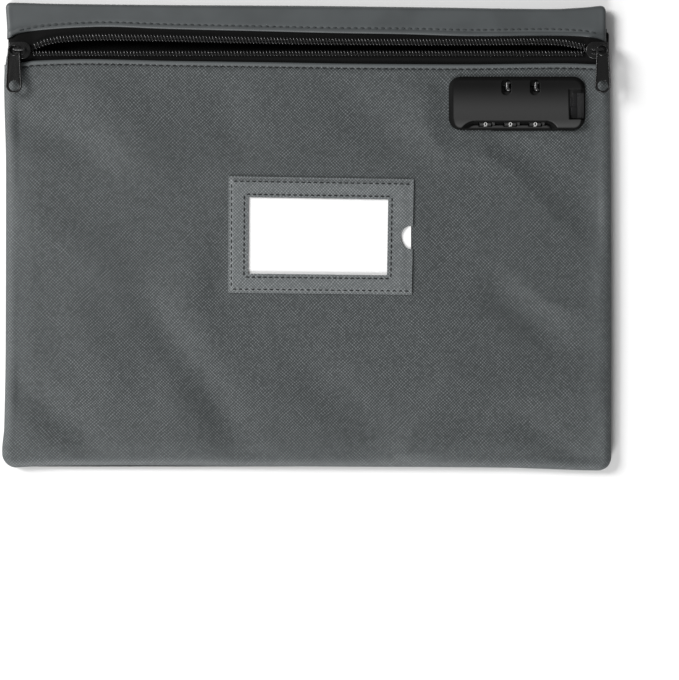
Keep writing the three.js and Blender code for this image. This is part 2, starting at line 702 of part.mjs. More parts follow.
// A black hook whose horn points to +X, over the rim of a pull's hole.
function latchHook() {
  const section = outline([
    [-0.4, LATCH_TOP_Z + GAP],
    [1.2, LATCH_TOP_Z + GAP],
    [1.2, 9.9],
    [2.5, 10.1],
    [2.1, HOOK_TOP_Z],
    [-0.1, HOOK_TOP_Z],
    [-0.4, 10.4],
  ]);
  const options = { depth: HOOK_HEAD_TOP_Y - HOOK_HEAD_BOTTOM_Y, bevelEnabled: false };
  const body = new THREE.ExtrudeGeometry(section, options).rotateX(Math.PI / 2);
  body.translate(0, HOOK_HEAD_TOP_Y, 0);
  const overFlange = box(-3, 3, 9.7, 14, 0, HOOK_POCKET_Z + 0.3);
  return cut(body, overFlange);
}

function releaseButton() {
  const plate = box(
    31.2, 35.6, RECESS_BOTTOM_Y + 0.8, RECESS_TOP_Y - 2.2,
    RELEASE_PLATE_BOTTOM_Z, RELEASE_PLATE_TOP_Z,
  );
  const grip = box(
    35.3, 39.1, RECESS_BOTTOM_Y + 0.8, RECESS_TOP_Y - 2.2,
    RELEASE_PLATE_BOTTOM_Z, RELEASE_GRIP_TOP_Z,
  );
  const grooves = [36.1, 37.1, 38.1].map((x) => (
    box(x, x + 0.4, -12, 12, RELEASE_GRIP_TOP_Z - 0.4, RELEASE_GRIP_TOP_Z + PAST)
  ));
  const stem = box(33, 34.4, -3.6, 0.2, LATCH_TOP_Z + GAP, RELEASE_PLATE_BOTTOM_Z + 0.3);
  return cut(join(plate, grip, stem), ...grooves);
}

class SpringCurve extends THREE.Curve {
  constructor(radius, length, turns) {
    super();
    Object.assign(this, { radius, length, turns });
  }

  getPoint(t) {
    const angle = 2 * Math.PI * this.turns * t;
    return new THREE.Vector3(
      this.length * t, this.radius * Math.cos(angle), this.radius * Math.sin(angle),
    );
  }
}

function returnSpring() {
  const wire = new THREE.Shape().absarc(0, 0, 0.2, 0, 2 * Math.PI);
  const curve = new SpringCurve(0.9, SPRING_LENGTH, 6);
  const options = { steps: 72, extrudePath: curve, bevelEnabled: false, curveSegments: 3 };
  return new THREE.ExtrudeGeometry(wire, options);
}

// A leaf with one hump under each dial.
function detentSpring() {
  const thickness = 0.3;
  const low = BACK_PLATE_FLOOR_Z + GAP;
  const top = DIAL_CENTRES.flatMap((x) => [[x - 3, low], [x, low + 1.1], [x + 3, low]]);
  const line = [[DIAL_CENTRES[0] - 5.4, low], ...top, [DIAL_CENTRES[2] + 5.4, low]];
  const upper = line.map(([x, z]) => [x, z + thickness]).reverse();
  const strip = new THREE.ExtrudeGeometry(outline([...line, ...upper]), {
    depth: 3,
    bevelEnabled: false,
  });
  return strip.rotateX(Math.PI / 2).translate(0, DIAL_AXIS_Y + 1.5, 0);
}

function combinationLock() {
  const lock = new THREE.Group();
  lock.position.set(LOCK_X, LOCK_Y, 0);
  lock.add(piece('lock_housing', lockHousing(), blackPlastic()));
  lock.add(piece('lock_back_plate', lockBackPlate(), blackPlastic()));
  SCREW_PLACES.forEach(([x, y], i) => {
    const screw = piece(`lock_screw_${i + 1}`, lockScrew(), steel());
    screw.position.set(x, y, 0);
    lock.add(screw);
  });
  DIAL_CENTRES.forEach((x, i) => {
    const wheel = piece(`dial_${i + 1}`, dial(), blackPlastic());
    const sleeve = piece(`dial_sleeve_${i + 1}`, dialSleeve(), steel());
    wheel.position.set(x, DIAL_AXIS_Y, DIAL_AXIS_Z);
    sleeve.position.set(x, DIAL_AXIS_Y, DIAL_AXIS_Z);
    lock.add(wheel, sleeve);
  });
  const shaftEnds = [DIAL_CENTRES[0] - 7.6, DIAL_CENTRES[2] + 8];
  const shaft = cylinderX(DIAL_AXIS_Y, DIAL_AXIS_Z, SHAFT_RADIUS, ...shaftEnds, 16);
  lock.add(piece('dial_shaft', shaft, steel()));
  lock.add(piece('latch_plate', latchPlate(), steel()));
  HOOK_CENTRES.forEach((x, i) => {
    const hook = piece(`latch_hook_${i ? 'right' : 'left'}`, latchHook(), blackMetal());
    hook.position.x = x;
    lock.add(hook);
  });
  lock.add(piece('release_button', releaseButton(), blackPlastic()));
  const spring = piece('return_spring', returnSpring(), steel());
  spring.position.set(SPRING_START_X, 0, (LATCH_BOTTOM_Z + LATCH_TOP_Z) / 2);
  lock.add(spring);
  lock.add(piece('detent_spring', detentSpring(), steel()));
  return lock;
}

// ---------------------------------------------------------------- assembly

const bag = new THREE.Group();
bag.add(backPanel(), frontPanel(), headerBand(), edgeBinding());
bag.add(zipperTapeLower(), zipperTapeUpper(), zipperChainLower(), zipperChainUpper());
bag.add(sliderWithPull('left', -1), sliderWithPull('right', 1));
bag.add(cardFrame(), cardWindow(), insertCard());
bag.add(combinationLock());

export default bag;
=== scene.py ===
"""A lockable A4 cash deposit bag in grey crosshatched leather, lying on its back."""

import json
import math

import bmesh
import bpy
import numpy as np
from mathutils import Matrix, Vector
from mathutils.bvhtree import BVHTree


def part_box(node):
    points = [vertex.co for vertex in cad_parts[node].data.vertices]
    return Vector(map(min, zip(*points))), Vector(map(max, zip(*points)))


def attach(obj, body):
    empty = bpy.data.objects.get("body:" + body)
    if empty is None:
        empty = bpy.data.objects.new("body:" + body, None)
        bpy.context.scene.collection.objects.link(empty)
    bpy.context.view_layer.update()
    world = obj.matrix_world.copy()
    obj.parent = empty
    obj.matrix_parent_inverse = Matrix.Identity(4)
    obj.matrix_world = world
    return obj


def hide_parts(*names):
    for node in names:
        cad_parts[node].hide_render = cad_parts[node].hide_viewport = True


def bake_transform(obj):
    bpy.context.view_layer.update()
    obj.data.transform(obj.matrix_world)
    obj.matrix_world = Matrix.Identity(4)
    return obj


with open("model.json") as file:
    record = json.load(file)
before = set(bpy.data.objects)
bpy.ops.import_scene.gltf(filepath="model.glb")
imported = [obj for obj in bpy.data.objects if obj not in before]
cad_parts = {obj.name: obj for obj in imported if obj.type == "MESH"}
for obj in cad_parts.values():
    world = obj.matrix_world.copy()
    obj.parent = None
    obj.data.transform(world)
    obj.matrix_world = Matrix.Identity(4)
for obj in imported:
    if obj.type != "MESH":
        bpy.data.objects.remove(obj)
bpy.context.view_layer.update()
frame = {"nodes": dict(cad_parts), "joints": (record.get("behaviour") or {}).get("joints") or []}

MM = 0.001  # lengths below are in millimetres and are scaled once, when a mesh is made


def node_box(node):
    """Lowest and highest corners of a CAD node, in millimetres."""
    low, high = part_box(node)
    return np.array(low) / MM, np.array(high) / MM


def node_middle(node):
    return sum(node_box(node)) / 2


def joint(name):
    return next(item for item in frame["joints"] if item["name"] == name)


def add_object(name, data):
    obj = bpy.data.objects.new(name, data)
    bpy.context.scene.collection.objects.link(obj)
    return obj


# ------------------------------------------------------------------ driving dimensions

_, PANEL_HIGH = node_box("front_panel")
HEADER_LOW, HEADER_HIGH = node_box("header_band")
LOCK_LOW, LOCK_HIGH = node_box("lock_housing")
FRAME_LOW, FRAME_HIGH = node_box("card_frame")
ROW_LOW, ROW_HIGH = node_box("zipper_chain_lower")
UPPER_LOW, _ = node_box("zipper_chain_upper")

BAG_HALF_WIDTH = PANEL_HIGH[0]
BAG_HALF_HEIGHT = HEADER_HIGH[1]
FACE_Z = PANEL_HIGH[2]
SEAM_Z = 3.4  # height of the sewn edge between back and front
SIDE_Z = 4.4  # height at which the front bulges furthest
SKIN = 0.5  # thickness of the leather
PANEL_CORNER = 8.0
BAND_CORNER = 3.4

PANEL_EDGE_Y = PANEL_HIGH[1]
HEADER_EDGE_Y = HEADER_LOW[1]
HEM_RADIUS = 0.75
HEM_RETURN = 7.0  # how far a hem goes back under its sheet
# Distances of a sheet's last rows from its folded edge, closer and closer together.
HEM_ROWS = np.array([9, 7.5, 6.2, 5.2, 4.4, 3.9, 3.5, 3.2, 2.9, 2.6, 2.3, 1.9, 1.5, 1.1, HEM_RADIUS])
STITCH_INSET = 2.9  # from a folded edge to its row of stitches
STITCH_PITCH = 4.0
THREAD_RADIUS = 0.35

COIL_PITCH = 1.9
COIL_HALF_WIDTH = {"lower": 1.45, "upper": 1.85}
COIL_LEAN = 0.4
COIL_HALF_HEIGHT = 0.72
COIL_WIRE = 0.31
COIL_Z = (ROW_LOW[2] + ROW_HIGH[2]) / 2
LOWER_ROW_Y = (ROW_LOW[1] + ROW_HIGH[1]) / 2
LIP_TRAVEL = joint("zip_lip_close")["range_m"][1] / MM
CLOSED_ROW_Y = UPPER_LOW[1] + (ROW_HIGH[1] - ROW_LOW[1]) / 2
BAND_GAP = 5.8  # from the upper row to the band's edge when the zip is closed
ROW_HALF_LENGTH = ROW_HIGH[0]
ZIP_Y = (LOWER_ROW_Y + CLOSED_ROW_Y) / 2
TAPE_Z = 6.4


# ------------------------------------------------------------------ small maths

def smoothstep(t):
    t = np.clip(t, 0, 1)
    return t * t * (3 - 2 * t)


def smooth_line(*points):
    """A smooth curve y(x) through a few points, level beyond its ends."""
    xs, ys = np.array(points, float).T
    rise = np.diff(ys) / np.diff(xs)
    steady = rise[1:] * rise[:-1] > 0
    slopes = np.zeros_like(ys)
    slopes[1:-1] = np.where(steady, 2 * rise[1:] * rise[:-1] / np.where(steady, rise[1:] + rise[:-1], 1), 0)

    def curve(x):
        x = np.clip(np.asarray(x, float), xs[0], xs[-1])
        i = np.clip(np.searchsorted(xs, x, side="right") - 1, 0, len(xs) - 2)
        width = xs[i + 1] - xs[i]
        t = (x - xs[i]) / width
        return (
            (2 * t**3 - 3 * t**2 + 1) * ys[i]
            + (t**3 - 2 * t**2 + t) * width * slopes[i]
            + (3 * t**2 - 2 * t**3) * ys[i + 1]
            + (t**3 - t**2) * width * slopes[i + 1]
        )

    return curve


def steps(start, stop, size):
    """Evenly spaced values from start to stop, about size apart."""
    count = max(1, int(round(abs(stop - start) / size)))
    return np.linspace(start, stop, count + 1)


# The outline of the lying bag isn't ruled: each edge wanders a little.
left_edge = smooth_line((-136, -1.8), (-126, -2.4), (-112, -1.2), (-60, -0.3), (40, -0.1),
                        (92, -1.2), (104, -0.6), (112, 1.2), (124, 0.6), (137, -0.4))
right_edge = smooth_line((-137, 0.2), (-60, 0.4), (20, 0.2), (90, -0.6), (104, -1.4),
                         (112, -2.6), (137, -3.0))
bottom_edge = smooth_line((-178, 0.4), (-150, 1.6), (-110, 1.8), (0, 1.2), (110, 0.6), (176, -1.2))
top_edge = smooth_line((-178, 2.0), (-150, 1.3), (-80, 0.5), (0, 0.0), (80, -1.0),
                       (145, -1.8), (165, -0.9), (178, 0.2))
panel_edge = smooth_line((-178, 101.2), (-160, 103.4), (-130, 104.2), (-80, 103.3), (-20, 102.4),
                         (30, 101.6), (90, 101.2), (150, 101.8), (178, 101.0))
header_edge = smooth_line((-177, 115.6), (-170, 118.2), (-157, 120.6), (-134, 122.4), (-118, 122.9),
                          (-87, 121.9), (-34, 120.7), (18, 119.6), (54, 119.3), (98, 118.4),
                          (140, 118.9), (159, 118.3), (168, 116.9), (177, 114.2))
upper_row = smooth_line((-163, CLOSED_ROW_Y), (-154, 113.8), (-145, 115.5), (-122, 116.6),
                        (-93, 116.2), (-34, 114.9), (18, 114.0), (83, 113.7), (136, 114.0),
                        (148, 113.5), (156, 112.2), (163, CLOSED_ROW_Y))


def ridge(x, y, start, end, width, height):
    """A long soft fold from start to end, fading at both ends."""
    start, end = np.array(start, float), np.array(end, float)
    along = end - start
    length = np.hypot(*along)
    along /= length
    t = (x - start[0]) * along[0] + (y - start[1]) * along[1]
    across = (y - start[1]) * along[0] - (x - start[0]) * along[1]
    ends = smoothstep(t / (0.35 * length)) * smoothstep((length - t) / (0.35 * length))
    return height * np.exp(-((across / width) ** 2)) * ends


FOLDS = (
    ((35, 125), (190, -80), 17, 4.8),
    ((90, 75), (200, -10), 14, -2.4),
    ((40, -150), (105, -70), 14, 3.8),
    ((80, -92), (200, -84), 13, 3.6),
    ((95, -20), (160, -70), 11, -3.6),
    ((110, -100), (175, -140), 10, -3.0),
    ((-20, -60), (60, -130), 14, -2.4),
    ((0, 100), (70, 40), 14, -2.4),
    ((-150, 110), (-70, 20), 18, 3.4),
    ((-190, 75), (-105, 42), 11, -3.8),
    ((-190, 30), (-60, -60), 17, 3.0),
    ((-120, 0), (-20, -150), 12, -4.6),
    ((-60, 30), (-75, -150), 20, 3.0),
    ((-185, -75), (-110, -135), 11, -3.8),
    ((-150, -20), (-100, -110), 13, 2.4),
    ((-60, 100), (-30, 30), 13, -1.8),
)


def flat_patch(x, y, low, high, margin):
    """1 on the patch between two corners, falling to 0 over the margin."""
    out_x = np.maximum(np.maximum(low[0] - x, x - high[0]), 0)
    out_y = np.maximum(np.maximum(low[1] - y, y - high[1]), 0)
    return 1 - smoothstep(np.hypot(out_x, out_y) / margin)


def face_relief(x, y):
    """Height of the front's folds over its level: flat where it is sewn, low where the card slides."""
    height = -0.7 + 0.15 * np.sin(x / 9.0 + 1.3 * np.sin(y / 17.0)) * np.sin(y / 11.0)
    for start, end, width, size in FOLDS:
        height = height + ridge(x, y, start, end, width, size)
    card_path = flat_patch(x, y, FRAME_LOW, FRAME_HIGH + [104, 0, 0], 14)
    height = np.minimum(height, 2.4 - 2.5 * card_path)
    held = np.maximum(
        flat_patch(x, y, LOCK_LOW + 1, LOCK_HIGH - 1, 15),
        flat_patch(x, y, FRAME_LOW, FRAME_HIGH, 22),
    )
    return height * (1 - held)


# ------------------------------------------------------------------ mesh helpers

def mesh_object(name, points, faces, grain=None, smooth=True, rim=None):
    """A mesh in the scene from millimetre points.

    grain holds flat leather coordinates, and rim marks edges from 0 to 1 for painted light and shade: a
    painted highlight on leather hem beads, painted shade on the lock.
    """
    mesh = bpy.data.meshes.new(name)
    mesh.from_pydata((np.asarray(points, float) * MM).tolist(), [], [list(f) for f in faces])
    mesh.polygons.foreach_set("use_smooth", [smooth] * len(mesh.polygons))
    if grain is not None:
        attribute = mesh.attributes.new("grain", "FLOAT_VECTOR", "POINT")
        attribute.data.foreach_set("vector", np.asarray(grain, np.float32).ravel())
    if rim is not None:
        mark_rim(mesh, rim)
    mesh.validate()
    mesh.update()
    return add_object(name, mesh)


def mark_rim(mesh, rim):
    attribute = mesh.attributes.new("rim", "FLOAT", "POINT")
    attribute.data.foreach_set("value", np.asarray(rim, np.float32).ravel())


def grid_points(x, y, z):
    return np.stack([x, y, z], axis=-1).reshape(-1, 3)


def grid_faces(rows, columns, keep=None):
    """Quads of a grid numbered row by row; keep(row, column) may leave some out."""
    r, c = np.meshgrid(np.arange(rows - 1), np.arange(columns - 1), indexing="ij")
    r, c = r.ravel(), c.ravel()
    if keep is not None:
        wanted = keep(r, c)
        r, c = r[wanted], c[wanted]
    first = r * columns + c
    return np.stack([first, first + 1, first + columns + 1, first + columns], axis=1)


def apply_modifiers(obj):
    """Replaces the object's mesh with its evaluated one and drops the modifiers."""
    graph = bpy.context.evaluated_depsgraph_get()
    mesh = bpy.data.meshes.new_from_object(obj.evaluated_get(graph))
    obj.modifiers.clear()
    obj.data = mesh
    return obj


def thicken(obj, thickness=SKIN, inner_slot=0):
    """Gives a sheet its thickness downwards; inner_slot is the material slot of the inner side."""
    modifier = obj.modifiers.new("skin", "SOLIDIFY")
    modifier.thickness = thickness * MM
    modifier.offset = -1.0
    modifier.material_offset = inner_slot
    return apply_modifiers(obj)


def join_meshes(name, parts, shade=True):
    """One object from (points, faces) pairs in millimetres."""
    points, faces, base = [], [], 0
    for part_points, part_faces in parts:
        points.append(np.asarray(part_points, float))
        faces += [[base + i for i in face] for face in part_faces]
        base += len(part_points)
    return mesh_object(name, np.concatenate(points), faces, smooth=shade)


def loft(rings, looped=False):
    """(points, faces) of a skin over rings of points, its ends capped or joined to each other."""
    rings = np.asarray(rings, float)
    count, sides = rings.shape[:2]
    i, k = np.meshgrid(np.arange(count if looped else count - 1), np.arange(sides), indexing="ij")
    j, m = (i + 1) % count, (k + 1) % sides
    faces = np.stack([i * sides + k, j * sides + k, j * sides + m, i * sides + m], axis=-1)
    faces = faces.reshape(-1, 4).tolist()
    if not looped:
        faces += [list(range(sides)), [count * sides - 1 - k for k in range(sides)]]
    return rings.reshape(-1, 3), faces


def tube(path, radius, sides=8, axis=None):
    """(points, faces) of a round tube along a path.

    Its section is set out from the path's flattest direction, or from the axis that a coil turns about.
    """
    path = np.asarray(path, float)
    tangent = np.gradient(path, axis=0)
    tangent /= np.linalg.norm(tangent, axis=1)[:, None]
    if axis is None:
        flattest = 2 - np.argmin(np.ptp(path, axis=0)[::-1])
        side = np.cross(tangent, np.eye(3)[flattest])
    else:
        side = axis - tangent * (tangent @ axis)[:, None]
    side /= np.linalg.norm(side, axis=1)[:, None]
    up = np.cross(side, tangent)
    turn = 2 * np.pi * np.arange(sides)[:, None] / sides
    ring = side[:, None] * (radius * np.cos(turn)) + up[:, None] * (radius * np.sin(turn))
    return loft(path[:, None] + ring)


def curve_parts(curve, merge=0.0):
    """(points, faces) of what a curve or a text makes. The curve itself is removed."""
    obj = add_object("curve", curve)
    bpy.context.view_layer.update()
    mesh = bpy.data.meshes.new_from_object(obj)
    form = bmesh.new()
    form.from_mesh(mesh)
    if merge > 0:
        bmesh.ops.remove_doubles(form, verts=form.verts, dist=merge)
    points = np.array([v.co for v in form.verts])
    faces = [[v.index for v in f.verts] for f in form.faces]
    form.free()
    bpy.data.objects.remove(obj)
    bpy.data.curves.remove(curve)
    bpy.data.meshes.remove(mesh)
    return points, faces


def plate(loops, z0, z1, bevel=0.2, rounds=3):
    """(points, faces) of a flat plate with rounded edges. loops: outline, then holes."""
    curve = bpy.data.curves.new("outline", "CURVE")
    curve.dimensions = "2D"
    curve.fill_mode = "BOTH"
    curve.extrude = (z1 - z0) / 2 - bevel
    curve.bevel_depth = bevel
    curve.bevel_resolution = rounds
    curve.offset = -bevel
    for loop in loops:
        spline = curve.splines.new("POLY")
        spline.points.add(len(loop) - 1)
        for point, (x, y) in zip(spline.points, loop):
            point.co = (x, y, 0, 1)
        spline.use_cyclic_u = True
    points, faces = curve_parts(curve, 1e-4)
    return points + [0, 0, (z0 + z1) / 2], faces


def arc(x, y, radius, start, stop, count=12):
    """Points of an arc, angles in degrees."""
    angles = np.radians(np.linspace(start, stop, count + 1))
    return np.stack([x + radius * np.cos(angles), y + radius * np.sin(angles)], axis=1)


def circle(x, y, radius, count=28):
    return arc(x, y, radius, 0, 360, count)[:-1]


def rounded_rect(x0, x1, y0, y1, radius, count=6):
    return np.concatenate([
        arc(x1 - radius, y0 + radius, radius, -90, 0, count),
        arc(x1 - radius, y1 - radius, radius, 0, 90, count),
        arc(x0 + radius, y1 - radius, radius, 90, 180, count),
        arc(x0 + radius, y0 + radius, radius, 180, 270, count),
    ])


def moved(part, x=0.0, y=0.0, z=0.0, turn=None):
    """A (points, faces) pair, turned by a matrix and then shifted."""
    points, faces = part
    if turn is not None:
        points = points @ np.array(turn.to_3x3()).T
    return points + [x, y, z], faces


def mesh_points(obj):
    """The mesh's points in millimetres."""
    points = np.zeros(len(obj.data.vertices) * 3)
    obj.data.vertices.foreach_get("co", points)
    return points.reshape(-1, 3) / MM


def place_points(obj, points):
    """Moves the mesh's points to these, in millimetres."""
    obj.data.vertices.foreach_set("co", (points * MM).ravel())
    obj.data.update()


def soften(obj, angle=40):
    """Smooth shading that keeps the sharp turns of a plate."""
    form = bmesh.new()
    form.from_mesh(obj.data)
    for edge in form.edges:
        if len(edge.link_faces) == 2:
            edge.smooth = edge.calc_face_angle(0) < math.radians(angle)
    form.to_mesh(obj.data)
    form.free()
    return obj


# ------------------------------------------------------------------ materials

def tint(color, factor):
    """The colour, made darker or lighter."""
    return tuple(factor * c for c in color)


def new_material(name, color, roughness=0.5, metallic=0.0, **sockets):
    material = bpy.data.materials.new(name)
    material.use_nodes = True
    shader = material.node_tree.nodes["Principled BSDF"]
    shader.inputs["Base Color"].default_value = (*color, 1)
    shader.inputs["Roughness"].default_value = roughness
    shader.inputs["Metallic"].default_value = metallic
    for socket, value in sockets.items():
        shader.inputs[socket.replace("_", " ")].default_value = value
    return material


class Nodes:
    """Short ways to add and join shader nodes in one material."""

    def __init__(self, material):
        self.tree = material.node_tree
        self.shader = self.tree.nodes["Principled BSDF"]

    def put(self, socket, value):
        """Joins another socket to this one, or sets its value."""
        if isinstance(value, bpy.types.NodeSocket):
            self.tree.links.new(value, socket)
        else:
            socket.default_value = value

    def add(self, kind, settings=None, **inputs):
        item = self.tree.nodes.new(kind)
        for key, value in (settings or {}).items():
            setattr(item, key, value)
        for key, value in inputs.items():
            self.put(item.inputs[key.replace("_", " ")], value)
        return item

    def math(self, operation, a, b=0.0, c=0.0):
        item = self.add("ShaderNodeMath", {"operation": operation})
        for socket, value in zip(item.inputs, (a, b, c)):
            self.put(socket, value)
        return item.outputs[0]

    def times(self, a, b):
        return self.math("MULTIPLY", a, b)

    def ramp(self, value, low, high, to_low=0.0, to_high=1.0):
        """A smooth change from to_low to to_high as value goes from low to high."""
        return self.add(
            "ShaderNodeMapRange", {"interpolation_type": "SMOOTHSTEP"}, Value=value,
            From_Min=low, From_Max=high, To_Min=to_low, To_Max=to_high,
        ).outputs[0]

    def mix(self, share, a, b):
        item = self.add("ShaderNodeMix", {"data_type": "RGBA"})
        for index, value in ((0, share), (6, a), (7, b)):
            self.put(item.inputs[index], (*value, 1) if isinstance(value, tuple) else value)
        return item.outputs[2]

    def shades(self, value, low, high, color, dark, light):
        """From a darker to a lighter shade of the colour as value goes from low to high."""
        return self.mix(self.ramp(value, low, high), tint(color, dark), tint(color, light))

    def axis(self, vector, name):
        """One coordinate of a vector."""
        return self.add("ShaderNodeSeparateXYZ", Vector=vector).outputs[name]

    def turned(self, vector, angle):
        """The vector turned about Z, the angle in degrees."""
        turn = (0, 0, math.radians(angle))
        return self.add("ShaderNodeMapping", Vector=vector, Rotation=turn).outputs[0]

    def scaled(self, vector, scale):
        item = self.add("ShaderNodeVectorMath", {"operation": "MULTIPLY"})
        self.put(item.inputs[0], vector)
        self.put(item.inputs[1], scale)
        return item.outputs[0]

    def grain(self):
        """Flat coordinates of the sheet, in millimetres."""
        return self.add("ShaderNodeAttribute", {"attribute_name": "grain"}).outputs["Vector"]

    def rim(self):
        """1 on edges marked for painted light or shade, 0 elsewhere."""
        return self.add("ShaderNodeAttribute", {"attribute_name": "rim"}).outputs["Fac"]

    def place(self):
        """Position in the row frame, in millimetres."""
        return self.scaled(self.add("ShaderNodeTexCoord").outputs["Object"], (1 / MM,) * 3)

    def noise(self, vector, scale, detail=2.0, roughness=0.5):
        return self.add(
            "ShaderNodeTexNoise", Vector=vector, Scale=scale, Detail=detail, Roughness=roughness,
        ).outputs["Fac"]

    def bump(self, height, distance, strength):
        item = self.add("ShaderNodeBump", Height=height, Distance=distance * MM, Strength=strength)
        self.put(self.shader.inputs["Normal"], item.outputs[0])

    def color(self, value):
        self.put(self.shader.inputs["Base Color"], value)

    def roughness(self, value):
        self.put(self.shader.inputs["Roughness"], value)


HATCH_PITCH = 1.34
HATCH_SWAY = 1.6  # how many pitches a ridge may wander
BREAK_STEP = 3.7  # keeps the breaks of neighbouring ridges unlike
BREAK_RATE = 0.28  # breaks to a millimetre along a ridge


def hatch(nodes, sheet, angle, seed):
    """Fine straight ridges in one diagonal direction, broken at random, 0 to 1."""
    turned = nodes.turned(sheet, angle)
    sway = nodes.noise(nodes.scaled(turned, (0.12, 0.06, 1.0)), 1.0, 1.0)
    line = nodes.math("DIVIDE", nodes.axis(turned, "X"), HATCH_PITCH)
    across = nodes.math("MULTIPLY_ADD", sway, HATCH_SWAY, line)
    crest = nodes.ramp(nodes.math("COSINE", nodes.times(across, 2 * math.pi)), 0.0, -0.95)
    ridge_number = nodes.times(nodes.math("FLOOR", across), BREAK_STEP)
    along = nodes.times(nodes.axis(turned, "Y"), BREAK_RATE)
    spot = nodes.add("ShaderNodeCombineXYZ", X=ridge_number, Y=along, Z=seed)
    breaks = nodes.noise(spot.outputs[0], 1.0, 1.0)
    return nodes.times(crest, nodes.ramp(breaks, 0.36, 0.64, 0.38, 1.0))


def edge_wear(nodes):
    """1 along the bag's sides and bottom, where the leather is painted paler as light on its rounded edges,
    and 0 further in.
    """
    spot = nodes.place()
    from_middle = nodes.math("ABSOLUTE", nodes.axis(spot, "X"))
    sides = nodes.ramp(from_middle, BAG_HALF_WIDTH - 22, BAG_HALF_WIDTH - 4)
    bottom = nodes.ramp(nodes.axis(spot, "Y"), 20 - BAG_HALF_HEIGHT, 4 - BAG_HALF_HEIGHT)
    return nodes.math("MAXIMUM", sides, bottom)


def crosshatched_leather(name, dark, light):
    """Synthetic leather pressed with two sets of fine diagonal ridges."""
    material = new_material(name, light, Specular_IOR_Level=0.5)
    nodes = Nodes(material)
    sheet = nodes.grain()
    rim = nodes.rim()
    one = hatch(nodes, sheet, 45, 0.0)
    other = hatch(nodes, sheet, -45, 40.0)
    ridges = nodes.math("MULTIPLY_ADD", nodes.math("ADD", one, other), 0.42, nodes.times(one, other))
    patches = nodes.ramp(nodes.noise(sheet, 0.10, 2.0, 0.6), 0.36, 0.62, 0.9, 1.0)
    # Painted highlight on the hem beads marked as rim: their ridges fade, for the smoother fold, and their
    # grooves are painted lighter.
    ridges = nodes.times(nodes.times(ridges, patches), nodes.math("SUBTRACT", 1.0, nodes.times(rim, 0.9)))
    broad = nodes.noise(sheet, 0.02, 3.0, 0.55)
    grooves = nodes.mix(nodes.times(rim, 0.45), dark, light)
    tone = nodes.mix(nodes.math("MINIMUM", ridges, 1.0), grooves, light)
    # Painted light: the rounded sides and bottom are painted paler.
    edge_lit = nodes.times(edge_wear(nodes), nodes.ramp(broad, 0.3, 0.7, 0.10, 0.22))
    tone = nodes.mix(edge_lit, tone, light)
    nodes.color(nodes.mix(nodes.ramp(broad, 0.3, 0.7, 0.06, 0.14), tone, tint(dark, 0.8)))
    nodes.roughness(nodes.ramp(ridges, 0.1, 0.8, 0.60, 0.42))
    nodes.bump(nodes.math("MULTIPLY_ADD", nodes.noise(sheet, 2.4, 3.0, 0.6), 0.15, ridges), 0.16, 0.8)
    return material


def smooth_leather(name, color):
    """The plain strip above the zip, with a faint pebble."""
    material = new_material(name, color, Specular_IOR_Level=0.45)
    nodes = Nodes(material)
    sheet = nodes.grain()
    pebble = nodes.noise(sheet, 1.3, 3.0, 0.6)
    nodes.color(nodes.shades(nodes.noise(sheet, 0.04), 0.3, 0.7, color, 0.9, 1.08))
    nodes.roughness(nodes.ramp(pebble, 0.3, 0.7, 0.45, 0.56))
    nodes.bump(pebble, 0.05, 0.5)
    return material


def woven(name, color, pitch=0.55):
    """Close ribbed weave."""
    material = new_material(name, color, 0.9, Specular_IOR_Level=0.08)
    nodes = Nodes(material)
    spot = nodes.place()
    rate = 2 * math.pi / pitch
    warp = nodes.math("SINE", nodes.times(nodes.axis(spot, "X"), rate))
    weft = nodes.math("SINE", nodes.times(nodes.axis(spot, "Y"), rate * 0.7))
    cloth = nodes.times(warp, weft)
    nodes.color(nodes.shades(cloth, -1, 1, color, 0.6, 1.5))
    nodes.bump(nodes.math("MULTIPLY_ADD", nodes.noise(spot, 1.6, 3.0), 0.6, cloth), 0.06, 0.6)
    return material


def moulded(name, color, roughness, texture=0.015, gloss=0.5):
    """Moulded or painted parts with a very fine texture; edges marked as rim get painted shade, a darker
    colour.
    """
    material = new_material(name, color, roughness, Specular_IOR_Level=gloss)
    nodes = Nodes(material)
    spot = nodes.place()
    rim = nodes.rim()
    spark = nodes.noise(spot, 2.5, 2.0, 0.6)
    tone = nodes.shades(nodes.noise(spot, 0.05), 0.3, 0.7, color, 0.88, 1.12)
    # Painted shade: where rim is marked, the colour darkens to 0.3 of itself.
    nodes.color(nodes.mix(rim, tone, tint(color, 0.3)))
    speckle = nodes.ramp(spark, 0.3, 0.7, roughness - 0.05, roughness + 0.07)
    nodes.roughness(nodes.math("MULTIPLY_ADD", rim, 0.35, speckle))
    nodes.bump(spark, texture, 0.5)
    return material


def lighten_towards(material, dark_y, light_y, color):
    """Painted light: fades the material's colour to a lighter one along Y, like a face lit more strongly at
    one end; rim edges keep their painted shade.
    """
    nodes = Nodes(material)
    before = nodes.shader.inputs["Base Color"].links[0].from_socket
    share = nodes.ramp(nodes.axis(nodes.place(), "Y"), light_y, dark_y, 1.0, 0.0)
    share = nodes.times(share, nodes.math("SUBTRACT", 1.0, nodes.rim()))
    nodes.color(nodes.mix(share, before, color))


def metal(name, color, roughness, metallic=0.9):
    """Plain metal, a little scuffed."""
    material = new_material(name, color, roughness, metallic)
    nodes = Nodes(material)
    spot = nodes.place()
    scuff = nodes.noise(spot, 0.9, 4.0, 0.65)
    nodes.roughness(nodes.ramp(scuff, 0.3, 0.7, roughness - 0.06, roughness + 0.1))
    nodes.bump(nodes.noise(spot, 3.0), 0.012, 0.4)
    return material


def paper(name, color):
    """Smooth card with a trace of fibre."""
    material = new_material(name, color, 0.6, Specular_IOR_Level=0.3)
    nodes = Nodes(material)
    fibre = nodes.noise(nodes.place(), 1.1, 4.0, 0.7)
    nodes.color(nodes.shades(fibre, 0.3, 0.7, color, 0.975, 1.0))
    nodes.bump(fibre, 0.01, 0.3)
    return material


